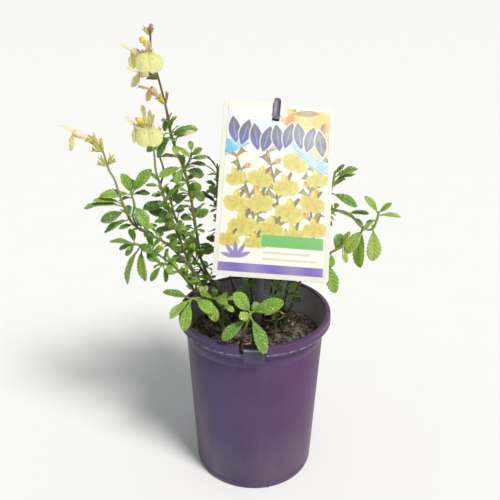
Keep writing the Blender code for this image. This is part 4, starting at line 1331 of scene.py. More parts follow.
class Moulds:
    """Every repeated form of the plant, modelled once."""

    def __init__(self) -> None:
        """Models the forms."""
        self.leaves = {columns: self.sheet(columns, rows)
                       for columns, rows in ((44, 10), (28, 8), (16, 4))}
        self.hood = self.sheet(16, 12)
        self.calyx = Cast.take(Bench.lathe("calyx", [(1, k / 13) for k in range(14)], 24, (True, False)))
        self.lip = self.disc(64, 12)
        self.chip = self.bark_chip()

    @staticmethod
    def sheet(columns: int, rows: int) -> Cast:
        """A flat sheet that a leaf or a petal is bent from."""
        return Cast.take(Bench.grid("sheet", columns, rows))

    @staticmethod
    def disc(sides: int, rings: int) -> Cast:
        """Models a flat disc of rings that a lip is bent from, facing up.

        Args:
            sides: points round it.
            rings: rings in it.

        Returns:
            The cast.
        """
        cast = Cast.take(Bench.lathe("disc", [(1.02 - k / rings, 0) for k in range(rings)], sides,
                                     (False, True)))
        a, b, c = (cast.points[k] for k in cast.faces[0][:3])
        if np.cross(b - a, c - b)[2] < 0:
            return Cast(cast.points, [face[::-1] for face in cast.faces])
        return cast

    @staticmethod
    def bark_chip() -> Cast:
        """Models a splinter of bark: a block with its edges worn off and one end split thin.

        Returns:
            The cast.
        """
        thing = Bench.box("chip", (-0.5, -0.5, -0.5), (0.5, 0.5, 0.5))
        Bench.pick(thing, lambda p: p.x > 0.3, "VERT")
        bpy.ops.transform.resize(value=(1, 0.45, 0.5), center_override=(0.5 * MM, 0, 0))
        bpy.ops.transform.translate(value=(0, 0.12 * MM, -0.1 * MM))
        Bench.done()
        Bench.modify(thing, "BEVEL", width=0.16 * MM, segments=1)
        return Cast.take(thing)


@dataclass(frozen=True)
class Leaf:
    """A leaf: where it grows, and its size."""

    seat: Seat
    length: float
    width: float
    bend: float = 40.0

    def curve(self, share: np.ndarray, across: np.ndarray, lift: np.ndarray) -> np.ndarray:
        """Points on the arched blade.

        Args:
            share: shares of the length.
            across: distances out to the side.
            lift: distances off the midrib's arch.

        Returns:
            The points, in millimetres.
        """
        half = math.radians(self.bend) / 2
        arc = self.length / (2 * math.sin(half))
        angle = half * (1 - 2 * share)
        ahead = self.length / 2 - arc * np.sin(angle) - np.sin(angle) * lift
        return self.seat.put(ahead, across, arc * (np.cos(angle) - math.cos(half)) + np.cos(angle) * lift)

    def blade(self, cast: Cast, draw: random.Random, pucker: float) -> tuple[np.ndarray, np.ndarray]:
        """The blade: scalloped edges, puckered between its veins.

        Args:
            cast: the flat sheet.
            draw: chance, for waves and a slight twist.
            pucker: how far the skin stands up between the veins, in millimetres.

        Returns:
            Its points and grain.
        """
        t, v = cast.points[:, 0], cast.points[:, 1]
        u = 0.015 + 0.98 * (0.45 * t + 0.55 * (0.5 - 0.5 * np.cos(np.pi * t)))
        half = self.width / 2 * np.clip(np.sin(np.pi * u ** 1.3), 0, 1) ** 0.6
        columns = len(np.unique(np.round(t, 4))) - 1
        tooth = np.array([-0.10, 0.02, 0.06, 0.03])[np.round(t * columns).astype(int) % 4]
        out = np.abs(v)
        across = v * half * (1 + tooth * out ** 4)
        phase = (u - VEIN_SLANT * out) * VEIN_PAIRS
        cells = np.abs(np.sin(np.pi * phase)) ** 0.7 * np.sin(np.pi * np.clip(out, 0.04, 0.96)) ** 0.6
        fold = 0.16 * (np.sqrt(across ** 2 + 0.3) - 0.5)
        wave = draw.uniform(0.2, 0.55) * np.sin(u * draw.uniform(9, 15) + draw.uniform(0, 6)) * out ** 3
        twist = math.radians(draw.uniform(-14, 14)) * u
        tip = -0.05 * self.length * np.clip(u - 0.6, 0, 1) ** 2 * draw.uniform(0, 3)
        lift = fold + pucker * cells + wave * v * min(1.0, self.width / 8) + across * np.sin(twist) + tip
        share = STALK_SHARE + (1 - STALK_SHARE) * u
        return self.curve(share, across, lift - 0.12), np.stack((u, v / 2 + 0.5), 1)

    def rib(self, sides: int) -> Shape:
        """The stalk, and the midrib that it runs into beneath the blade.

        Args:
            sides: points round it.

        Returns:
            (points, faces, grain).
        """
        share = np.linspace(-0.02, 0.86, 12)
        line = [Vector(p) for p in self.curve(share, np.zeros(12), np.full(12, -0.42))]
        thick = 0.55 + 0.012 * self.length
        radii = np.interp(share, [-0.02, 0.12, 0.3, 0.86], [thick, 0.8 * thick, 0.5 * thick, 0.14])
        return tube_points(line, radii, sides)

    def samples(self) -> list[Vector]:
        """Takes points along the blade's middle and edges.

        Returns:
            The points, in millimetres.
        """
        share = np.array([0.35, 0.5, 0.65, 0.8, 1.0, 0.5, 0.5, 0.75, 0.75])
        across = np.array([0, 0, 0, 0, 0, 0.5, -0.5, 0.45, -0.45]) * self.width
        return [Vector(p) for p in self.curve(share, across, np.zeros(9))]


class Survey:
    """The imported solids, in millimetres: how each leaf is bent there, and what room is left."""

    bends = [(0, 0, 0)] + [(turn * size, rise * size, roll * size) for size in (10, 20, 32)
                           for turn, rise, roll in (
                               (1, 0, 0), (-1, 0, 0), (0, 1, 0), (0, -1, 0), (1, 1, 0), (-1, 1, 0),
                               (1, -1, 0), (-1, -1, 0), (0, 0, 2), (0, 0, -2))]
    near = 0.07
    thick = 0.8
    room = 1.0
    apart = 1.6
    ground = 141.0

    def __init__(self) -> None:
        """Reads the solids' points and faces."""
        self.trees, self.draw, self.taken, points, faces = {}, random.Random(PAIR_SEED), [], [], []
        for name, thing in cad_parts.items():
            own = [v.co / MM for v in thing.data.vertices]
            self.trees[name] = KDTree(len(own))
            for k, point in enumerate(own):
                self.trees[name].insert(point, k)
            self.trees[name].balance()
            faces += [[k + len(points) for k in face.vertices] for face in thing.data.polygons]
            points += own
        self.surface = BVHTree.FromPolygons(points, faces)

    def as_grown(self, name: str, base: Vector, row: Sequence[float]) -> tuple | None:
        """A leaf of the plan as its solid is bent: the bend whose tip is a point of the solid.

        Args:
            name: the solid's node.
            base: the leaf's foot.
            row: (turn, rise, length, width, roll) in the plan.

        Returns:
            The row as bent, or None where the solid has no such leaf.
        """
        turn, rise, length, width, roll = row
        half = math.radians(Leaf.bend / 2)
        for shrink in (1.0, 0.8):
            for more_turn, more_rise, more_roll in self.bends:
                trial = (turn + more_turn, max(-85, min(85, rise + more_rise)), length * shrink,
                         width * shrink, roll + more_roll)
                seat = Seat.turned(base, trial[0], trial[1], trial[4])
                lower = seat.shifted(trial[2] - self.thick * math.sin(half), -self.thick * math.cos(half))
                if self.trees[name].find(lower.base)[2] < self.near:
                    return trial
        return None

    def pair_rows(self, plan: Stem) -> list[tuple]:
        """The opposite leaves that the model grows by rule.

        Args:
            plan: the stem's plan.

        Returns:
            Their rows.
        """
        rows = []
        for share, turn in plan.pairs:
            for hand in (0, 180):
                top = share > 0.94
                length = self.draw.uniform(19, 28) * (0.75 if top else 1.0)
                rise = self.draw.uniform(5, 35) + (25 if top else 0)
                rows.append((share, turn + hand + self.draw.uniform(-15, 15), rise, length, 0.38 * length,
                             self.draw.uniform(-20, 20)))
        return rows

    def claim(self, leaf: Leaf) -> bool:
        """Claims a leaf's place if it lies clear of the solids and of the leaves claimed before.

        Args:
            leaf: the leaf.

        Returns:
            Whether it does, and so was claimed.
        """
        samples = leaf.samples()
        if any(p.z < self.ground or self.surface.find_nearest(p, self.room)[0] for p in samples):
            return False
        own = np.array(samples)
        if self.taken and (np.linalg.norm(np.concatenate(self.taken)[:, None] - own, axis=2).min()
                           < self.apart):
            return False
        self.taken.append(own)
        return True


@dataclass(frozen=True)
class Calyx:
    """A ribbed green bell with two pointed lips, round a flower or by itself."""

    seat: Seat
    length: float
    radius: float
    tone: Tone = Tone.FRESH

    def shape(self, cast: Cast) -> tuple[np.ndarray, np.ndarray, np.ndarray]:
        """Bends the bell from a plain tube.

        Args:
            cast: the plain tube.

        Returns:
            (points, grain, tint).
        """
        x, y, t = cast.points.T
        a = np.arctan2(y, x)
        nearest = np.abs((a + np.pi / 2) % np.pi - np.pi / 2)
        way = t * (0.72 + 0.28 * np.clip(1 - nearest / (np.pi / 2), 0, 1) ** 0.8)
        radius = self.radius * np.interp(way, [0, 0.08, 0.42, 0.72, 1.0], [0.2, 0.32, 0.66, 0.78, 0.98])
        radius = radius * (1 + 0.05 * np.cos(9 * a) * np.sin(np.pi * np.clip(way, 0, 0.9)))
        radius = radius + 0.24 * self.radius * np.clip(way - 0.75, 0, 1)
        points = self.seat.put(way * self.length - 0.3, -radius * np.sin(a), radius * np.cos(a))
        foot, tip, point = (np.array(paint(code)) for code in self.tone.value)
        seam = 0.18 * (0.5 - 0.5 * np.cos(9 * a)) * np.clip(way * 2, 0, 1)
        edge = np.clip((way - 0.84) / 0.16, 0, 1) * 0.7
        tint = fade(fade(fade(foot, tip, way), 0.45 * foot, seam), point, edge)
        return points, np.stack((way, (a / (2 * np.pi)) % 1.0), 1), tint


class Down:
    """Fine pale hairs on young stems and calyces."""

    tint: Colour = paint("e9e6bd")
    faces = [(0, 1, 3), (1, 2, 3), (2, 0, 3), (0, 2, 1)]

    @classmethod
    def grow(cls, heap: Heap, roots: Sequence[tuple[Vector, Vector]], length: float,
             draw: random.Random) -> None:
        """Adds one three-sided hair on each root.

        Args:
            heap: where the hairs go.
            roots: the foot of each and the way out from it.
            length: the longest hair.
            draw: chance.
        """
        for root, normal in roots:
            stray = Vector((draw.uniform(-1, 1), draw.uniform(-1, 1), draw.uniform(-0.6, 1)))
            way = (normal + stray * 0.45).normalized()
            across = way.orthogonal().normalized() * 0.055
            other = way.cross(across)
            foot = root - normal * 0.08
            points = [foot + across, foot - across / 2 + other * 0.87, foot - across / 2 - other * 0.87,
                      root + way * length * draw.uniform(0.6, 1.0)]
            heap.add(np.array(points), cls.faces, np.zeros((4, 2)), cls.tint)


@dataclass
class LeafyStem:
    """One stem with its leaves, young shoots and calyces."""

    plan: Stem
    flowers: Sequence
    moulds: Moulds
    survey: Survey
    wear: dict
    deep: Colour = paint("3e6219")
    middle: Colour = paint("65961c")
    fresh: Colour = paint("8eb82a")
    bright: Colour = paint("bfd35a")
    burnt: Colour = paint("a9743f")
    dried: Colour = paint("ffe4bc")

    def __post_init__(self) -> None:
        """Lays out the stem's lines and its own chance."""
        self.draw = random.Random(self.plan.name)
        self.seats = smooth_route(self.plan.route, 13.0)
        self.line = [Vector(self.plan.route[0]) - Vector((0, 0, 12)), *smooth_route(self.plan.route, 2.4)]
        self.side_seats = smooth_route(self.plan.side, 6.0) if self.plan.side else []
        self.skin, self.blades, self.bells = Heap(), Heap(), Heap()

    def leaf_tint(self, grain: np.ndarray, tone: float) -> np.ndarray:
        """The blade's colour at each point.

        Args:
            grain: its surface coordinates.
            tone: from deep green at 0 to bright at 1.

        Returns:
            The colours.
        """
        steps = np.array([self.deep, self.middle, self.fresh, self.bright])
        level = np.clip(tone * 3 + 0.5 * (grain[:, 0] - 0.4) + self.draw.uniform(-0.2, 0.2), 0, 3)
        low = np.minimum(level.astype(int), 2)
        tint = fade(steps[low], steps[low + 1], level - low)
        out = np.abs(grain[:, 1] * 2 - 1)
        tint = fade(tint, self.fresh, 0.28 * np.clip(out - 0.82, 0, 1) / 0.18)
        if self.draw.random() < 0.12:
            tint = fade(tint, self.burnt, 0.7 * np.clip(grain[:, 0] - 0.86, 0, 1) / 0.14)
        return tint

    def add_leaf(self, base: Vector, row: Sequence[float], tone: float, young: bool = False) -> None:
        """Bends one leaf into place, with its stalk.

        Args:
            base: its foot.
            row: (turn, rise, length, width, roll).
            tone: how bright it is, or below nought for a dried leaf.
            young: whether it is a small leaf with fewer faces.
        """
        turn, rise, length, width, roll = row
        leaf = Leaf(Seat.turned(base, turn, rise, roll), length, width)
        cast = self.moulds.leaves[44 if length > 19 else 28 if length > 12.5 and not young else 16]
        points, grain = leaf.blade(cast, self.draw, 0.06 + 0.018 * length)
        tint = self.leaf_tint(grain, tone)
        if tone < 0:
            tint = np.array(self.dried) * (0.75 + 0.4 * grain[:, :1])
        self.blades.add(points, cast.faces, grain, tint)
        self.skin.add(*leaf.rib(4 if young else 6), fade(self.fresh, tint[len(tint) // 2], 0.4))

    def add_calyx(self, calyx: Calyx) -> None:
        """Bends one calyx into place, with down on it.

        Args:
            calyx: the calyx.
        """
        points, grain, tint = calyx.shape(self.moulds.calyx)
        self.bells.add(points, self.moulds.calyx.faces, grain, tint)
        roots = []
        for _ in range(int(3 * calyx.length)):
            root = Vector(points[self.draw.randrange(len(points))])
            out = root - calyx.seat.base
            out -= calyx.seat.forward * out.dot(calyx.seat.forward)
            if out.length > 0.3:
                roots.append((root, out.normalized()))
        Down.grow(self.skin, roots, 0.55, self.draw)

    def add_stem(self, line: Sequence[Vector], first: float, last: float, rows: Sequence[tuple]) -> None:
        """Adds a stem with down on its upper part, swollen a little where leaves grow.

        Args:
            line: points along its middle.
            first: its radius at the foot.
            last: its radius at the top.
            rows: its leaves.
        """
        count, sides = len(line), 12
        share = np.linspace(0, 1, count)
        places = np.array([-1.0] + [row[0] for row in rows])[:, None]
        knots = np.exp(-((share - places) * count / 1.6) ** 2).max(axis=0)
        radii = first + (last - first) * share + 0.28 * knots
        points, faces, grain = tube_points(line, radii, sides, 0.06)
        tints, level = np.array([paint(code) for code in self.plan.skin]), np.repeat(share, sides)
        tint = np.stack([np.interp(level, (0, 0.45, 0.95), column) for column in tints.T], 1)
        self.skin.add(points, faces, grain, tint)
        roots = []
        for _ in range(count * 5):
            k = int(count * self.draw.uniform(0.45, 0.99))
            root = Vector(points[k * sides + self.draw.randrange(sides)])
            roots.append((root, (root - line[k]).normalized()))
        Down.grow(self.skin, roots, 0.6, self.draw)

    def placed_leaves(self) -> Iterator[tuple[Vector, tuple]]:
        """Takes the plan's leaves one by one, bent as their solid is.

        Returns:
            (foot, row) of each.
        """
        plan = self.plan
        rows = [(self.seats, row) for row in plan.leaves]
        rows += [(self.side_seats, row) for row in plan.side_leaves]
        rows += [(self.seats, row) for row in self.survey.pair_rows(plan)]
        for seats, (share, *row) in rows:
            base = along(seats, share)
            grown = self.survey.as_grown(plan.name, base, row)
            if grown:
                yield base, grown

    def young_leaves(self) -> Iterator[tuple[Vector, tuple]]:
        """Young leaves at the plan's places, wherever there is room for one.

        Returns:
            (foot, row) of each.
        """
        for share in self.plan.tufts:
            base = along(self.seats, share)
            for _ in range(self.plan.tries):
                turn, rise = self.draw.uniform(-180, 180), self.draw.uniform(-15, 65)
                length, roll = self.draw.uniform(8, 17), self.draw.uniform(-50, 50)
                width = length * self.draw.uniform(0.36, 0.44)
                if self.survey.claim(Leaf(Seat.turned(base, turn, rise, roll), length, width)):
                    yield base, (turn, rise, length, width, roll)

    def grow(self) -> None:
        """Adds everything that the plan has for this stem."""
        plan, placed, young = self.plan, list(self.placed_leaves()), list(self.young_leaves())
        log.info("%s: %d leaves as packed, %d young ones", plan.name, len(placed), len(young))
        self.add_stem(self.line, *plan.thick, plan.leaves)
        if plan.side:
            self.add_stem(smooth_route(plan.side, 2.4), plan.thick[1] + 0.1, plan.thick[1],
                          plan.side_leaves)
        # plan.tone is painted light and shade: brighter leaves on stems that stand in light, darker on stems
        # in shade
        for base, row in placed:
            self.add_leaf(base, row, max(0.0, self.draw.uniform(0.1, 0.7) + plan.tone))
        for base, row in young:
            self.add_leaf(base, row, max(0.0, self.draw.uniform(0.2, 0.9) + plan.tone), True)
        for share, *row in plan.dry:
            self.add_leaf(along(self.seats, share), row, -1.0)
        for seats, rows in ((self.seats, plan.calyces), (self.side_seats, plan.side_calyces)):
            for share, turn, rise, length, radius, *tone in rows:
                self.add_calyx(Calyx(Seat.turned(along(seats, share), turn, rise), length, radius, *tone))
        for flower in self.flowers:
            seat = Seat.turned(along(self.seats, flower.at), flower.turn, flower.rise)
            self.add_calyx(Calyx(seat, *flower.calyx, flower.state.value[1]))

    def build(self) -> Thing:
        """Builds the stem, which stands for the plain solid of the same name.

        Returns:
            The piece.
        """
        self.grow()
        parts = [self.skin.make("skin", self.wear["stem"])]
        if self.blades.count:
            blades = self.blades.make("blades", self.wear["leaf"])
            blades.data.materials.append(self.wear["underleaf"])
            Bench.modify(blades, "SOLIDIFY", thickness=BLADE_THICK * MM, offset=-1.0,
                         material_offset=1, material_offset_rim=0)
            parts.append(blades)
        if self.bells.count:
            parts.append(self.bells.make("bells", self.wear["calyx"], BELL_THICK))
        return Bench.join(self.plan.name + "_grown", parts)


@dataclass
class Flower:
    """An open two-lipped flower: tube, hood with its style, and a broad notched lip."""

    plan: Bloom
    base: Vector
    moulds: Moulds
    wear: dict
    brown: str = "c08a5a"

    def __post_init__(self) -> None:
        """Finds the throat and the flower's own chance."""
        self.draw = random.Random(self.plan.name)
        self.seat = Seat.turned(self.base, self.plan.turn, self.plan.rise)
        self.throat = self.plan.calyx[0] + self.plan.tube
        self.mouth = self.seat.shifted(self.throat - 1.2).base
        self.tubes, self.petals, self.lips = Heap(), Heap(), Heap()

    def mixed(self, code: str) -> np.ndarray:
        """A petal colour, carried towards brown where the flower is past its best, and a little for painted
        shade where it stands in shadow.
        """
        return fade(paint(code), paint(self.brown), self.plan.state.value[0])

    def add_tube(self) -> None:
        """The tube, with its mouth open."""
        start, throat, tube, rings, sides = self.plan.calyx[0], self.throat, self.plan.tube, 36, 20
        knots = [(0.3 * start + 1.6, 0.3), (0.78 * start, 1.2), (start + 0.6, 1.7),
                 (throat - 0.6 * tube, 3.1), (throat - 0.35 * tube, 3.25), (throat, 2.9),
                 (throat + 0.1, 2.55), (throat - 2.6, 2.2), (throat - 3.6, 0.8)]
        points, faces, ahead = petal_tube(self.seat, knots, rings, sides, 0.96,
                                          lambda way, a: 1 + 0.025 * np.cos(10 * a))
        grain = np.stack((np.repeat(ahead / throat, sides), np.tile(np.arange(sides) / sides, rings)), 1)
        inside = np.repeat(np.arange(rings) > rings * 0.72, sides)
        self.tubes.add(points, faces, grain, fade(self.mixed("eee0b4"), self.mixed("e0c77a"), inside))

    def add_hood(self) -> None:
        """The hood: an arched, closed-in upper petal, and the style that stands out of it."""
        plan, cast = self.plan, self.moulds.hood
        seat = Seat.turned(self.mouth, plan.turn, plan.hood).shifted(-0.4)
        leaf = Leaf(seat, plan.hood_length, 5.6, 35.0)
        t, v = cast.points[:, 0], cast.points[:, 1]
        share = 0.02 + 0.98 * t
        wide = np.interp(share, [0, 0.25, 0.45, 0.65, 0.85, 0.95, 1.0], [1.7, 1.5, 1.8, 2.2, 2.0, 1.3, 0.45])
        angle = v * math.radians(100)
        points = leaf.curve(share, wide * np.sin(angle), -wide * 0.85 * (1 - np.cos(angle)) - 0.15)
        self.petals.add(points, cast.faces, np.stack((share, v / 2 + 0.5), 1),
                        fade(self.mixed("eedbaa"), self.mixed("f4eeb2"), share))
        reach = np.linspace(0.2, 1.12, 9)
        line = [Vector(p) for p in leaf.curve(reach, np.zeros(9), -1.2 - 2.2 * np.clip(reach - 0.7, 0, 1))]
        radii = np.interp(reach, [0.2, 1.0, 1.12], [0.3, 0.24, 0.34])
        self.tubes.add(*tube_points(line, radii, 6), self.mixed("eadba6"))

    def add_lip(self) -> None:
        """The lip: two broad lobes with a notch, ruffled edges and a crease down the middle."""
        plan, cast = self.plan, self.moulds.lip
        seat = Seat.turned(self.mouth, plan.turn, plan.lip).shifted(2.0, 1.4)
        half = [(0.0, -0.1), (1.6 / plan.lip_width, -0.06), (0.2, 0.0), (0.33, 0.05), (0.47, 0.22),
                (0.5, 0.42), (0.485, 0.62), (0.41, 0.82), (0.29, 0.95), (0.15, 0.995), (0.05, 0.955),
                (0.0, 0.92)]
        middle = 0.45
        ring = np.array(half + [(-x, y) for x, y in half[-2:0:-1]]) - (0.0, middle)
        heading = np.unwrap(np.arctan2(ring[:, 0], -ring[:, 1]))
        flat = np.linalg.norm(cast.points[:, :2], axis=1)
        turn = np.arctan2(cast.points[:, 0], -cast.points[:, 1])
        edge = np.interp(turn, heading, np.linalg.norm(ring, axis=1), period=2 * np.pi)
        phase = self.draw.uniform(0, 6)
        edge = edge * (1 + 0.006 * np.sin(17 * turn + phase) * (np.abs(turn) > 0.5))
        x, y = flat * edge * np.sin(turn), middle - flat * edge * np.cos(turn)
        swell = 0.11 * np.exp(-(((np.abs(x) - 0.25) / 0.2) ** 2 + ((y - 0.46) / 0.3) ** 2))
        back = 3.2 * (2 * x) ** 2 + 3.0 * y ** 2
        ruffle = 0.25 * np.sin(9 * turn + phase) * np.clip(flat, 0, 1) ** 4
        crease = 0.55 * np.exp(-(x / 0.045) ** 2) * np.clip(y, 0, 1)
        points = seat.put(y * plan.lip_height, -x * plan.lip_width,
                          swell * plan.lip_height - back + ruffle - crease)
        self.lips.add(points, cast.faces, np.stack((x + 0.5, y), 1),
                      fade(self.mixed("e0da86"), self.mixed("eeeaa4"), np.clip(y * 2.2, 0, 1)))

    def build(self) -> Thing:
        """Builds the flower, which stands for the plain solid of the same name.

        Returns:
            The piece.
        """
        self.add_tube()
        self.add_hood()
        self.add_lip()
        parts = [self.tubes.make("tube", self.wear["hood"]),
                 self.petals.make("petals", self.wear["hood"], PETAL_THICK),
                 self.lips.make("lip", self.wear["lip"], PETAL_THICK)]
        return Bench.join(self.plan.name + "_petals", parts)


@dataclass
class ClosedBud:
    """A golden bud with its petals wrapped round each other."""

    plan: Bud
    base: Vector
    wear: dict
    gold: Colour = paint("efd85a")
    red: Colour = paint("e2803a")

    def build(self) -> Thing:
        """Builds the bud, which stands for the plain solid of the same name.

        Returns:
            The piece.
        """
        start, length, rings, sides = self.plan.calyx[0], self.plan.length, 30, 24
        knots = [(0.3 * start + 1.6, 0.3), (0.78 * start, 1.2), (start + 0.6, 1.9),
                 (start + 0.3 * length, 2.6), (start + 0.6 * length, 2.4), (start + 0.85 * length, 1.4),
                 (start + length, 0.25)]

        def wrap(way: np.ndarray, a: np.ndarray) -> np.ndarray:
            """How the petals lap over each other.

            Args:
                way: distances ahead.
                a: angles round the bud.

            Returns:
                How much wider it is there.
            """
            share = (way - start) / length
            return 1 + 0.09 * np.abs(np.sin(1.5 * a + 2.4 * share)) * np.clip(share * 3, 0, 1)

        seat = Seat.turned(self.base, self.plan.turn, self.plan.rise)
        points, faces, ahead = petal_tube(seat, knots, rings, sides, 1.0, wrap)
        share = np.repeat((ahead - start) / length, sides)
        grain = np.stack((np.clip(share, 0, 1), np.tile(np.arange(sides) / sides, rings)), 1)
        heap = Heap()
        heap.add(points, faces, grain, fade(self.gold, self.red, np.clip((share - 0.62) * 2.2, 0, 0.8)))
        return heap.make(self.plan.name + "_petals", self.wear["bud"])


def wall_radius(height: float) -> float:
    """Radius of the pot's straight wall at a height."""
    return WALL_FOOT + WALL_TAPER * height


def soil_height(x: float, y: float) -> float:
    """The broad lie of the potting mix, as in the model.

    Args:
        x: distance to the right of the pot's axis.
        y: distance behind it.

    Returns:
        The height, in millimetres.
    """
    broad = noise.noise(Vector((x * 0.045, y * 0.045, 1.7)))
    fine = noise.noise(Vector((x * 0.16, y * 0.16, 5.1)))
    return SOIL_LEVEL + 1.8 * (1.2 * broad + 0.9 * fine)


@dataclass
class Pot:
    """The nursery pot: a turned tub with a rolled rim, faint mould lines, a notch and drains."""

    height: float = 165.0
    rim: float = 70.0
    rim_width: float = 4.4
    skirt: float = 8.5
    wall: float = 1.4
    floor: float = 2.4
    sides: int = 160
    notch: tuple = (-12.75, 9.75)

    def rings(self) -> list[tuple[float, float]]:
        """Draws the outline, from under the base round to the floor inside.

        Returns:
            (radius, height) of each ring, in millimetres.
        """
        top, skirt, rim, inner = self.height, self.height - self.skirt, self.rim, self.rim - self.rim_width
        lines = [(0, 2.5), (0, 6.4), (-0.35, 6.9), (-0.35, 7.6), (0, 8.1)]
        for line in (139.4, 148.6):
            lines += [(0, line), (-0.3, line + 0.5), (-0.3, line + 1.1), (0, line + 1.6)]
        foot = [(0.5, 0.9), (20.0, 0.9), (48.0, 0.9), (49.0, 0.0), (54.5, 0.0), (55.9, 0.5)]
        side = [(wall_radius(height) + out, height) for out, height in [*lines, (0, 151)]]
        step = [(wall_radius(skirt) + 1.8, skirt - 1.2), (wall_radius(skirt) + 3.0, skirt),
                (rim - 0.2, skirt), (rim + 0.25, skirt + 0.25), (rim + 0.25, skirt + 0.7),
                (rim - 0.1, skirt + 1.1), (rim, skirt + 2.2), (rim - 0.35, skirt + 2.8),
                (rim - 0.35, top - 2.6), (rim, top - 2.0), (rim - 0.3, top - 0.6), (rim - 1.2, top)]
        inside = [(inner + 0.8, top), (inner + 0.15, top - 0.3), (inner, top - 1.0), (inner, skirt),
                  (wall_radius(149) - self.wall, 148), (wall_radius(60) - self.wall, 60),
                  (wall_radius(self.floor) - self.wall - 1, self.floor + 0.6),
                  (wall_radius(self.floor) - self.wall - 2, self.floor), (0.5, self.floor)]
        return foot + side + step + inside

    def build(self, finish: PotPlastic) -> Thing:
        """Builds the pot.

        Args:
            finish: what it wears.

        Returns:
            The piece.
        """
        pot = Bench.lathe("nursery_pot", self.rings(), self.sides)
        low, high = self.notch
        notch = Bench.box("notch", (low, -self.rim - 2, self.height - self.skirt - 0.5),
                          (high, 12.4 - self.rim, self.height + 2))
        Bench.modify(notch, "BEVEL", width=0.6 * MM, segments=2)
        Bench.carve(pot, notch)
        for k in range(6):
            drain = Bench.lathe("drain", [(4.0, -2), (4.0, 6)], 32)
            Bench.carve(pot, Bench.set_out(drain, 36.0, 2 * math.pi * (k + 0.5) / 6))
        Bench.join("nursery_pot", [pot, *self.marks()])
        return Bench.dress(pot, finish.make(), 40)

    def marks(self) -> list[Thing]:
        """Small moulded marks: stacking lugs inside below the rim, and a tick low on the wall.

        Returns:
            The marks.
        """
        marks = []
        for k in range(4):
            a = math.pi / 4 + k * math.pi / 2
            lug = Bench.box("lug", (-5, -0.7, 151), (5, 0.7, 156))
            Bench.modify(lug, "BEVEL", width=0.4 * MM, segments=2)
            marks.append(Bench.set_out(lug, wall_radius(152) - self.wall - 0.4, a - math.pi / 2, a))
        a = math.asin(14.5 / wall_radius(70))
        tick = Bench.box("tick", (-0.35, -0.3, 1.0), (0.35, 0.3, 7.2))
        return [*marks, Bench.set_out(tick, wall_radius(5), a - math.pi / 2, a)]


@dataclass
class PottingMix:
    """The bark mix: a crumbly bed with chips, fibres and pale grains lying on it."""

    level: float = SOIL_LEVEL
    inset: float = 1.9
    chips: int = 520
    grains: int = 48
    seed: int = 4
    pale: Colour = paint("ebe5d6")
    barks: tuple = ("5a4f46", "80715f", "463f38", "38332e", "958c83", "685c51", "9c7a5c")
    splinters: tuple = ("d6a878", "c48a5c", "ecd0a8", "b48260")

    def bed(self, finish: PottingMixFinish) -> Thing:
        """The bed: a solid of fine rings, with its top raised and lowered crumb by crumb.

        Args:
            finish: what it wears.

        Returns:
            The piece.
        """
        wall, foot = (wall_radius(height) - self.inset for height in (self.level, 2.4))
        rings = [(3.0, 2.9), (foot, 2.9), (wall, self.level - 4), (wall, self.level - 1.5)]
        rings += [(wall * (1 - (k + 0.5) / 56), self.level) for k in range(56)]
        bed = Bench.lathe("mix_bed", rings, 180)
        for vert in bed.data.vertices:
            x, y, z = vert.co / MM
            if z > self.level - 1:
                lumps = noise.fractal(Vector((x * 0.3, y * 0.3, 2.0)), 0.8, 2.1, 4)
                edge = 1 - 0.8 * (math.hypot(x, y) / wall) ** 12
                vert.co.z = (soil_height(x, y) + 1.1 * lumps * edge - 0.5) * MM
        return Bench.dress(bed, finish.make(), 60)

    def litter(self, cast: Cast, finish: TintedGrit) -> Thing:
        """Chips and grains, each a copy of one chip with its own size, lie and colour.

        Args:
            cast: the chip.
            finish: what all of them wear.

        Returns:
            The piece.
        """
        draw, heap, grit = random.Random(self.seed), Heap(), finish.make()
        for k in range(self.chips + self.grains):
            share, a = math.sqrt(draw.random()), draw.uniform(0, 2 * math.pi)
            if k >= self.chips:
                size = Vector((1, 0.9, 0.8)) * draw.uniform(1.0, 2.9)
                tint = np.array(self.pale) * draw.uniform(0.7, 1.0)
            else:
                thin = k % 8 == 0
                long = draw.uniform(4.0, 11.0) if thin else draw.uniform(2.2, 10.5)
                broad = draw.uniform(0.14, 0.3) if thin else draw.uniform(0.4, 0.85)
                size = Vector((long, long * broad, draw.uniform(0.5, 1.4) + 0.12 * long * (not thin)))
                tint = np.array(paint(draw.choice(self.splinters if thin else self.barks)))
                tint = tint * draw.uniform(0.7, 1.25)
            radius = (60.8 - 0.6 * size.x) * share
            x, y = radius * math.cos(a), radius * math.sin(a)
            turn = Matrix.Rotation(draw.uniform(0, 6.3), 3, "Z")
            for axis in "YX":
                turn = turn @ Matrix.Rotation(draw.gauss(0, 0.3), 3, axis)
            shaken = cast.points * (1 + 0.12 * np.sin(cast.points * (7 + k % 5) + k)) * np.array(size)
            place = (x, y, soil_height(x, y) + 0.1 + 0.25 * size.z)
            heap.add(shaken @ np.array(turn).T + place, cast.faces, cast.points[:, :2], tint)
        return Bench.dress(heap.make("mix_litter", grit), grit, 30)


class Ink(Enum):
    """Colours on the printed card."""

    PAPER = "e8e6d9"
    SKY = "58b4d6"
    MIST = "b9cbe6"
    BLUE = "4a55a6"
    SLATE = "4d4f63"
    PETAL = "c9bf44"
    LIGHT = "d8d166"
    SHADE = "948730"
    GOLD = "e0a52c"
    ORANGE = "c9742e"
    TWIG = "4a443e"
    LEAF = "77723a"
    BROWN = "765730"
    GREEN = "5fb152"
    PURPLE = "6c50b0"
    GREY = "b4b2aa"

    @property
    def tint(self) -> np.ndarray:
        """The ink's linear colour."""
        return np.array(paint(self.value))

    def into(self, other: "Ink", share: float | np.ndarray) -> np.ndarray:
        """This ink carried towards another."""
        return fade(self.tint, other.tint, share)


def ray(turn: float, reach: float = 1.0) -> complex:
    """The spot at a distance from the origin, in a direction in degrees."""
    return cmath.rect(reach, math.radians(turn))


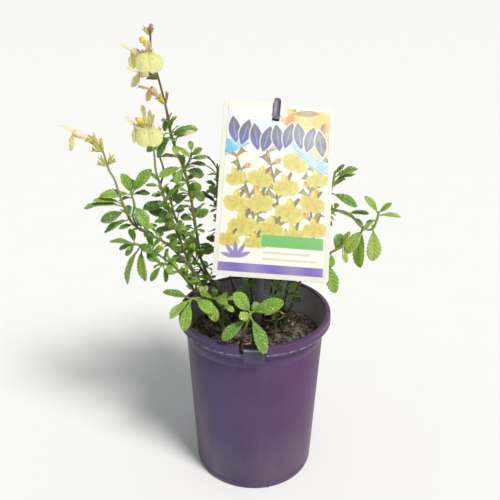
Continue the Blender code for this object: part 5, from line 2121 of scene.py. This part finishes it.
class Canvas:
    """The card's printed face, painted in millimetres about the card's middle.

    A spot on it is a complex number: its real part is to the right, its imaginary part is up.
    """

    def __init__(self, width: float, height: float, pitch: float) -> None:
        """Starts with bare paper.

        Args:
            width: the face's width.
            height: its height.
            pitch: distance between painted spots.
        """
        self.columns, self.rows, self.soft = round(width / pitch), round(height / pitch), pitch
        self.spots = (np.linspace(-width / 2, width / 2, self.columns + 1)
                      + 1j * np.linspace(-height / 2, height / 2, self.rows + 1)[:, None])
        self.ink = np.broadcast_to(Ink.PAPER.tint, (*self.spots.shape, 3)).copy()

    def lay(self, distance: np.ndarray, colour: Ink | np.ndarray, share: float | np.ndarray = 1.0
            ) -> None:
        """Inks the spots whose signed distance is below nought, with a soft edge.

        Args:
            distance: how far each spot is outside of the form.
            colour: an ink, or a colour for every spot.
            share: how thickly it covers.
        """
        cover = np.clip(0.5 - distance / self.soft, 0, 1) * share
        self.ink = fade(self.ink, colour.tint if isinstance(colour, Ink) else colour, cover)

    def turned(self, at: complex, turn: float) -> tuple[np.ndarray, np.ndarray]:
        """How far along and across a direction in degrees every spot is, seen from one spot."""
        way = (self.spots - at) * ray(-turn)
        return way.real, way.imag

    def polygon(self, *corners: complex) -> np.ndarray:
        """Measures every spot against a convex outline.

        Args:
            corners: its corners, either way round.

        Returns:
            The signed distance of every spot.
        """
        sides = list(zip(corners, [*corners[1:], corners[0]]))
        hand = math.copysign(1, sum((a.conjugate() * b).imag for a, b in sides))
        return np.max([((self.spots - a).conjugate() * (b - a)).imag * hand / abs(b - a)
                       for a, b in sides], axis=0)

    def block(self, left: float, right: float, low: float, high: float) -> np.ndarray:
        """Signed distance to an upright rectangle."""
        return self.polygon(*(complex(x, y) for x, y in ((left, low), (right, low), (right, high),
                                                         (left, high))))

    def oval(self, at: complex, wide: float, tall: float, turn: float) -> np.ndarray:
        """Signed distance to an oval of two radii, turned in degrees."""
        along_it, across = self.turned(at, turn)
        return (np.hypot(along_it / wide, across / tall) - 1) * min(wide, tall)

    def lens(self, at: complex, long: float, wide: float, turn: float) -> np.ndarray:
        """Signed distance to a leaf shape with two points, of two half-sizes, turned in degrees."""
        along_it, across = self.turned(at, turn)
        return (np.abs(across / wide) - 1 + (along_it / long) ** 2) * wide * 0.8

    def stroke(self, start: complex, end: complex, first: float, last: float) -> np.ndarray:
        """Measures every spot against a line that changes its width.

        Args:
            start: one end.
            end: the other end.
            first: half its width at the start.
            last: half its width at the end.

        Returns:
            The signed distance of every spot.
        """
        way = end - start
        t = np.clip(((self.spots - start) * way.conjugate()).real / abs(way) ** 2, 0, 1)
        return np.abs(self.spots - start - t * way) - first - (last - first) * t

    def hatch(self, turn: float, pitch: float) -> np.ndarray:
        """Fine lines from 0 to 1, turned in degrees."""
        return 0.5 + 0.5 * np.sin(self.turned(0, turn)[0] * 2 * np.pi / pitch)

    def blossom(self, at: complex, size: float, turn: float, warm: float = 0.0) -> None:
        """One blossom: a calyx, a short arched hood, and a broad ruffled lip with folds.

        Args:
            at: its middle.
            size: half the width of its lip.
            turn: how far it is turned, in degrees.
            warm: share of gold in its petals.
        """
        x, y = at.real, at.imag

        def on(u: float, v: float) -> complex:
            """A spot of the blossom on the card."""
            return at + complex(u, v) * ray(turn, size)

        def lip(u: np.ndarray, v: np.ndarray) -> tuple[np.ndarray, np.ndarray, np.ndarray]:
            """Where spots lie on the lip.

            Args:
                u: distances across the blossom.
                v: distances up it.

            Returns:
                (angle from straight down, reach, reach of the edge).
            """
            angle, reach = np.arctan2(u, 0.2 - v), np.hypot(u, v - 0.2)
            edge = np.interp(np.degrees(np.abs(angle)), (0, 12, 45, 75, 100, 125, 180),
                             (0.82, 0.93, 1.05, 1.02, 0.86, 0.42, 0.16))
            return angle, reach, edge + 0.035 * np.sin(11 * angle + x) + 0.022 * np.sin(23 * angle + y)

        petal, light = Ink.PETAL.into(Ink.GOLD, warm), Ink.LIGHT.into(Ink.GOLD, warm * 0.6)
        self.lay(self.stroke(on(0.1, 0.3), on(0.5, 1.0), 0.2 * size, 0.11 * size), Ink.BROWN)
        self.lay(self.stroke(on(0.2, 0.5), on(0.46, 0.95), 0.07 * size, 0.02 * size), Ink.LEAF)
        for u, v, long, wide, lean, colour, share in (
                (0.0, 0.52, 0.52, 0.32, 98, Ink.SHADE, 0.6), (-0.03, 0.55, 0.5, 0.28, 98, petal, 1.0),
                (0.06, 0.4, 0.32, 0.12, 98, Ink.GOLD, 0.8), (-0.1, 0.68, 0.26, 0.12, 104, light, 0.9)):
            self.lay(self.lens(on(u, v), long * size, wide * size, turn + lean), colour, share)
        u, v = (way / size for way in self.turned(at, turn))
        _, reach, edge = lip(u - 0.04, v + 0.08)
        self.lay((reach - edge) * size, Ink.SHADE, 0.55)
        angle, reach, edge = lip(u, v)
        fold = 0.5 + 0.3 * np.sin(angle * 5 + 1.8 * np.sin(reach * 5 + x) + y)
        fold = fold + 0.2 * np.sin(u * 9 + 2 * np.sin(v * 7 + y) + x)
        vein = 0.5 + 0.5 * np.sin(angle * 29 + 1.5 * np.sin(reach * 9 + y))
        rim = np.clip(reach / edge, 0, 1)
        tone = fade(petal, light, np.clip(0.15 + 0.75 * fold * rim + 0.35 * rim ** 6, 0, 1))
        tone = tone * (1 - 0.15 * (1 - fold) * np.sin(np.pi * rim) - 0.05 * vein)[..., None]
        tone = fade(tone, Ink.GOLD.tint, np.clip(0.6 - reach * 2.6, 0, 1))
        crease = np.clip(1 - np.abs(u) * 16, 0, 1) * np.clip(0.9 - reach, 0, 1) * 0.5
        self.lay((reach - edge) * size, fade(tone, Ink.SHADE.tint, crease))

    def bell(self, at: complex, size: float, turn: float, ink: Ink) -> None:
        """One pointed calyx, with a lighter side.

        Args:
            at: its foot.
            size: its length.
            turn: its direction, in degrees.
            ink: its colour.
        """
        tip = at + ray(turn, size)
        for hand in (-0.4, 0.4):
            end = at + 1.5 * (tip - at) * cmath.rect(1, hand)
            self.lay(self.stroke(tip, end, 0.2 * size, 0.02 * size), ink)
        self.lay(self.stroke(at, tip, 0.1 * size, 0.3 * size), ink)
        self.lay(self.stroke(at, tip, 0.03 * size, 0.12 * size), Ink.LIGHT, 0.35)

    def closed_bud(self, at: complex, size: float, turn: float) -> None:
        """A golden bud that stands out of its calyx.

        Args:
            at: the calyx's foot.
            size: the calyx's length.
            turn: its direction, in degrees.
        """
        self.bell(at, size, turn, Ink.BROWN)
        for reach, wide, tall, ink, share in ((1.3, 0.5, 0.32, Ink.GOLD, 1.0),
                                              (1.45, 0.25, 0.16, Ink.ORANGE, 0.8)):
            self.lay(self.oval(at + ray(turn, reach * size), wide * size, tall * size, turn), ink, share)


@dataclass
class Label:
    """The picture card and the stake that clips it to the rim."""

    lean: float = math.radians(34.0)
    turn: float = math.radians(7.2)
    tilt: float = math.radians(6.9)
    width: float = 100.0
    height: float = 158.6
    thick: float = 0.8
    middle: tuple = (27.2, 138.9)
    foot: tuple = (-10.2, -141.5)
    top: tuple = (-2.2, 84.0)
    strip: float = 6.5
    tip: float = 19.0
    gap: float = 0.35
    print_size: tuple = (92.0, 150.0)
    print_pitch: float = 0.5

    def __post_init__(self) -> None:
        """Finds the stake's length, where along it the slot is, and both pieces' places."""
        way = Vector(self.top) - Vector(self.foot)
        self.length, self.slot = way.length, way.length - self.tip
        self.on_card = (Matrix.Translation((*self.foot, 0.0))
                        @ Matrix.Rotation(math.atan2(-way.x, way.y), 4, "Z"))
        right = Vector((math.cos(self.turn), math.sin(self.turn), 0))
        out = right.cross(Vector((0, math.sin(self.lean), math.cos(self.lean)))).normalized()
        self.on_pot = (frame_of(right, out.cross(right), out, Vector((0, -67.0, 160.0)))
                       @ Matrix.Translation((*self.middle, 0.0)) @ Matrix.Rotation(-self.tilt, 4, "Z"))

    def body(self, finish: CardStock) -> Thing:
        """The card: a thin plate with round corners, softened edges and the stake's slot.

        Args:
            finish: what it wears.

        Returns:
            The piece.
        """
        x, y = self.width / 2, self.height / 2
        card = Bench.box("picture_card", (-x, -y, 0), (x, y, self.thick))
        Bench.pick(card, lambda p: abs(abs(p.x) - x) < 0.1 and abs(abs(p.y) - y) < 0.1
                   and abs(p.z - self.thick / 2) < 0.1, "EDGE")
        bpy.ops.mesh.bevel(offset=2.5 * MM, segments=6, affect="EDGES")
        Bench.done()
        cutter = Bench.box("slot", (-5, self.slot - 2.25, -2), (5, self.slot + 2.25, 3))
        Bench.move(cutter, self.on_card)
        Bench.carve(card, cutter)
        Bench.modify(card, "BEVEL", width=0.14 * MM, segments=2, limit_method="ANGLE")
        Bench.move(card, self.on_pot)
        return Bench.dress(card, finish.make(), 35)

    def picture(self) -> Canvas:
        """The print: a bed of pale yellow blossoms with plain bands in blue, green and purple.

        Returns:
            The painted face.
        """
        face = Canvas(*self.print_size, self.print_pitch)
        self.paint_spray(face)
        self.paint_top(face)
        for edges, ink, share in (((-50, 50, -80, -53.5), Ink.PAPER, 1.0),
                                  ((-9.7, 44.2, -51.8, -41.2), Ink.GREEN, 1.0),
                                  ((-46, 45, -75, -67.2), Ink.PURPLE, 0.86 + 0.14 * face.hatch(20, 31)),
                                  ((-8, 33, -57.6, -55.9), Ink.GREY, 0.6),
                                  ((-8, 39, -63.2, -61.5), Ink.GREY, 0.6)):
            face.lay(face.block(*edges), ink, share)
        for turn, reach in ((25, 7.0), (60, 7.5), (95, 7.5), (130, 7.5), (165, 7.0)):
            face.lay(face.lens(-31 - 63j + ray(turn, reach), reach, 1.9, turn), Ink.PURPLE, 0.85)
        return face

    @staticmethod
    def paint_top(face: Canvas) -> None:
        """Paints the card's head: near blossoms, swept bands and a row of blue leaves.

        Args:
            face: the card's face.
        """
        for blossom in ((33 + 65j, 17, 165, 0.45), (14 + 66j, 12, 30, 0.5), (20 + 48j, 15, -35, 0.2),
                        (40 + 44j, 16, 25, 0.3)):
            face.blossom(*blossom)
        for *lens, ink, share in ((10 + 64j, 9, 3.4, 70, Ink.ORANGE, 0.85),
                                  (25 + 72j, 12, 3.0, 5, Ink.BROWN, 0.85),
                                  (43 + 56j, 10, 2.8, 100, Ink.ORANGE, 0.6)):
            face.lay(face.lens(*lens), ink, share)
        face.lay(face.oval(-12 + 50j, 33, 13, -4), Ink.MIST, 0.35 + 0.45 * face.hatch(70, 2.4))
        face.lay(face.polygon(-46 + 75j, -46 + 42j, -33 + 54j), Ink.MIST, 0.3 + 0.6 * face.hatch(10, 2.2))
        face.lay(face.polygon(-46 + 26j, -24 + 40j, -46 + 43j), Ink.SKY, 0.7 + 0.3 * face.hatch(40, 12))
        band = np.abs(np.abs(face.spots - (74 + 92j)) - 76) - 4.5 - 0.06 * (46 - face.spots.imag)
        face.lay(np.maximum(band, face.block(-2, 46, 17, 56)),
                 Ink.SKY.into(Ink.MIST, face.hatch(60, 2.6)), 0.9)
        for k in range(9):
            at = complex(-39 + 9.7 * k, 48.6 + 3.0 * math.cos(k * 1.1) - 0.15 * k)
            turn = 76 if k % 2 else 100
            level = np.clip((face.spots.imag - at.imag) / 16 + 0.5, 0, 1)
            face.lay(face.lens(at, 13.8, 6.2, turn), Ink.PAPER, 0.9)
            face.lay(face.lens(at, 12.8, 5.3, turn),
                     fade(Ink.BLUE.into(Ink.SLATE, k / 8), Ink.SLATE.tint, level))
            face.lay(face.stroke(at - ray(turn, 7.5), at + ray(turn, 7.5), 0.3, 0.15), Ink.MIST, 0.7)

    @staticmethod
    def paint_spray(face: Canvas) -> None:
        """Paints the picture: dark twigs with calyces and buds, and blossoms in front.

        Args:
            face: the card's face.
        """
        draw = random.Random(11)
        for points in ((-14 - 52j, -20 - 14j, -36 + 28j), (8 - 50j, 2 - 8j, -8 + 34j),
                       (36 - 44j, 30 - 4j, 38 + 26j)):
            for k, (start, end) in enumerate(zip(points, points[1:])):
                face.lay(face.stroke(start, end, 1.2 - 0.4 * k, 0.8 - 0.35 * k), Ink.TWIG)
                for share in (0.15, 0.42, 0.7, 0.98):
                    at = start + (end - start) * share
                    for hand in (-1, 1):
                        turn = 90 - hand * draw.uniform(25, 60)
                        if draw.random() < 0.4:
                            face.closed_bud(at, draw.uniform(5.5, 7), turn)
                        else:
                            face.bell(at, draw.uniform(6.5, 9), turn, draw.choice((Ink.LEAF, Ink.BROWN)))
        for k, blossom in enumerate((
                (17 + 27j, 12.5, -8), (-35 + 8j, 9.5, 16), (37 + 12j, 10, 12), (-14 + 9j, 11.5, -14),
                (9 + 3j, 11.5, 8), (33 - 10j, 11.5, -10), (-34 - 14j, 11, -6), (-13 - 13j, 12, 12),
                (13 - 20j, 13, -6), (36 - 33j, 10.5, 8), (-27 - 34j, 13, 6), (-3 - 36j, 12, -10),
                (18 - 41j, 11, 10), (-38 - 47j, 9.5, -8), (-16 - 49j, 10, 4))):
            face.blossom(*blossom, 0.3 * (k % 4 == 1))

    def printed(self, face: Canvas, finish: PrintedCard) -> Thing:
        """The printed layer: a fine sheet just proud of the card, with its rim sunk in it.

        Args:
            face: the painted face.
            finish: what it wears.

        Returns:
            The piece.
        """
        back, across = self.on_card.inverted(), face.columns + 1
        x, y = face.spots.real.ravel(), face.spots.imag.ravel()
        faces = []
        for a in (j * across + i for j in range(face.rows) for i in range(face.columns)):
            middle = back @ Vector((x[a] + self.print_pitch / 2, y[a] + self.print_pitch / 2, 0))
            if abs(middle.x) >= 5.4 or abs(middle.y - self.slot) >= 2.7:
                faces.append((a, a + 1, a + 1 + across, a + across))
        wide, tall = self.print_size
        heap = Heap()
        heap.add(np.stack((x, y, np.full(x.size, self.thick + 0.03)), 1), faces,
                 np.stack((x / wide + 0.5, y / tall + 0.5), 1), face.ink.reshape(-1, 3))
        layer = heap.make("card_picture", finish.make())
        Bench.open(layer)
        bpy.ops.mesh.delete_loose()
        bpy.ops.mesh.select_all(action="SELECT")
        bpy.ops.mesh.region_to_loop()
        bpy.ops.mesh.extrude_edges_move(TRANSFORM_OT_translate={"value": (0, 0, -0.12 * MM)})
        Bench.done()
        Bench.move(layer, self.on_pot)
        return layer

    def stake(self, finish: StakePlastic) -> Thing:
        """The stake: strip, step through the slot, pointed tip, and the clip over the rim.

        Args:
            finish: what it wears.

        Returns:
            The piece.
        """
        slot, w, gap, front = self.slot, self.strip / 2, self.gap, self.thick + self.gap
        strip = Bench.box("strip", (-w, -1.5, -gap - 2), (w, slot + 1.4, -gap))
        Bench.press(strip, lambda p: p.z < -gap - 1, 1.2, (0, 0, 0.5))
        step = Bench.box("step", (-w, slot - 1.4, -gap - 1.8), (w, slot + 1.4, front + 1.8))
        tip = Bench.box("tip", (-w, slot - 1.4, front), (w, self.length - 3.0, front + 2))
        Bench.pick(tip, lambda p: p.y > self.length - 4, "FACE")
        for reach, wide, deep in ((1.9, 0.8, 0.95), (1.1, 0.55, 0.7)):
            bpy.ops.mesh.extrude_region_move(TRANSFORM_OT_translate={"value": (0, reach * MM, 0)})
            bpy.ops.transform.resize(value=(wide, 1, deep), center_override=(0, 0, (front + 1) * MM))
        Bench.done()
        Bench.press(tip, lambda p: p.z > front + 1.9, 1.0, (0, 0, -0.35))
        for part in (strip, step, tip):
            Bench.move(part, self.on_pot @ self.on_card)
        low, high, outer = -9.25, 8.45, -69.6
        plate = Bench.box("plate", (low, outer, 149.2), (high, outer + 1.8, 162.6))
        Bench.press(plate, lambda p: p.y < outer + 0.1, 2.2, (0, 0.4, -0.5))
        bridge = Bench.box("bridge", (low, outer + 0.2, 159.6), (high, -59.5, 162.3))
        leg = Bench.box("leg", (low + 3, -61.3, 145.2), (high - 3, -59.7, 161.8))
        parts = [strip, step, tip, plate, bridge, leg]
        for part in parts:
            Bench.modify(part, "BEVEL", width=0.45 * MM, segments=3, limit_method="ANGLE")
        return Bench.dress(Bench.join("stake_and_clip", parts), finish.make(), 40)


@dataclass
class Studio:
    """The photograph's view, a plain pale floor and soft light."""

    distance: float = 528.8
    height: float = 457.6
    pitch: float = math.radians(23.92)
    yaw: float = math.radians(-0.49)
    roll: float = math.radians(0.17)
    reach: float = 650.2
    photo: float = 500.0
    sensor: float = 36.0
    sun_from: tuple = (0.75, -0.85, 1.6)
    key: float = 2.68
    room: float = 0.37

    def camera(self) -> None:
        """The camera, as fitted to the pot's rim and base."""
        ahead = Vector((math.sin(self.yaw) * math.cos(self.pitch),
                        math.cos(self.yaw) * math.cos(self.pitch), -math.sin(self.pitch)))
        right = ahead.cross(Vector((0, 0, 1))).normalized()
        up = right.cross(ahead)
        c, s = math.cos(self.roll), math.sin(self.roll)
        lens = bpy.data.cameras.new("view")
        lens.sensor_width = self.sensor
        lens.lens = self.reach * self.sensor / self.photo
        lens.clip_start = 0.01
        camera = bpy.data.objects.new("view", lens)
        camera.matrix_world = frame_of(c * right + s * up, c * up - s * right, -ahead,
                                       Vector((0, -self.distance, self.height)) * MM)
        bpy.context.scene.collection.objects.link(camera)
        bpy.context.scene.camera = camera

    def lamp(self) -> None:
        """A broad, far lamp, high on the right, whose light is as strong all over the floor."""
        light = bpy.data.lights.new("key", "SUN")
        light.angle, light.energy, light.color = math.radians(17.0), self.key, (1.0, 0.985, 0.95)
        lamp = bpy.data.objects.new("key", light)
        lamp.rotation_euler = (-Vector(self.sun_from)).to_track_quat("-Z", "Y").to_euler()
        bpy.context.scene.collection.objects.link(lamp)

    def build(self, finish: StudioFloor) -> None:
        """Sets up the camera, the lights and the floor.

        Args:
            finish: what the floor wears.
        """
        self.camera()
        self.lamp()
        world = bpy.data.worlds.new("soft_room")
        world.use_nodes = True
        sky = world.node_tree.nodes["Background"]
        sky.inputs["Color"].default_value = (0.97, 0.985, 1.0, 1.0)
        sky.inputs["Strength"].default_value = self.room
        bpy.context.scene.world = world
        bpy.context.scene.view_settings.view_transform = "Standard"
        bpy.ops.object.select_all(action="DESELECT")
        bpy.ops.mesh.primitive_plane_add(size=40.0)
        floor = bpy.context.object
        floor.name = "floor"
        floor.data.materials.append(finish.make())


def settle(piece: Thing, slot: str, *nodes: str) -> None:
    """Gives a finished piece its body, and hides the plain solids that it stands for.

    Args:
        piece: the piece.
        slot: not used.
        nodes: the solids.
    """
    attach(piece, BODY)
    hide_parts(*nodes)
    piece.data.calc_loop_triangles()
    log.info("%s: %d triangles", piece.name, len(piece.data.loop_triangles))


def main() -> None:
    """Builds the studio, the pot with its mix, the label and the plant."""
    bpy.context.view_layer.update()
    Studio().build(StudioFloor())
    moulds, survey = Moulds(), Survey()
    settle(Pot().build(PotPlastic()), "pot", "pot")
    mix = PottingMix()
    settle(mix.bed(PottingMixFinish()), "soil", "soil")
    settle(mix.litter(moulds.chip, TintedGrit()), "soil", "soil")
    label = Label()
    settle(label.body(CardStock()), "card", "label_card")
    settle(label.printed(label.picture(), PrintedCard()), "card", "label_card")
    settle(label.stake(StakePlastic()), "stake", "label_stake")
    wear = {
        "leaf": LeafSkin("leaf_face", paint("a4be58"), 0.28, 0.42, 1.0).make(),
        "underleaf": LeafSkin("leaf_underside", paint("a3b878"), 0.6, 0.6, 0.05).make(),
        "stem": StemSkin("stem_skin", 4.0).make(),
        "calyx": StemSkin("calyx_skin", 9.0, True).make(),
        "lip": LipSkin().make(),
        "hood": HoodSkin("petal_hood", paint("c2945c")).make(),
        "bud": HoodSkin("bud_skin", paint("c06a2c"), 6.0).make(),
    }
    for stem in STEMS:
        flowers = [flower for flower in (*BLOOMS, *BUDS) if flower.stem == stem.name]
        grown = LeafyStem(stem, flowers, moulds, survey, wear)
        settle(grown.build(), "foliage", stem.name)
        for flower in flowers:
            base = along(grown.seats, flower.at)
            if isinstance(flower, Bloom):
                settle(Flower(flower, base, moulds, wear).build(), "petal", flower.name)
            else:
                settle(ClosedBud(flower, base, wear).build(), "bud", flower.name)


if __name__ == "__main__":
    logging.basicConfig(level=logging.INFO, format="%(name)s %(message)s")
    main()
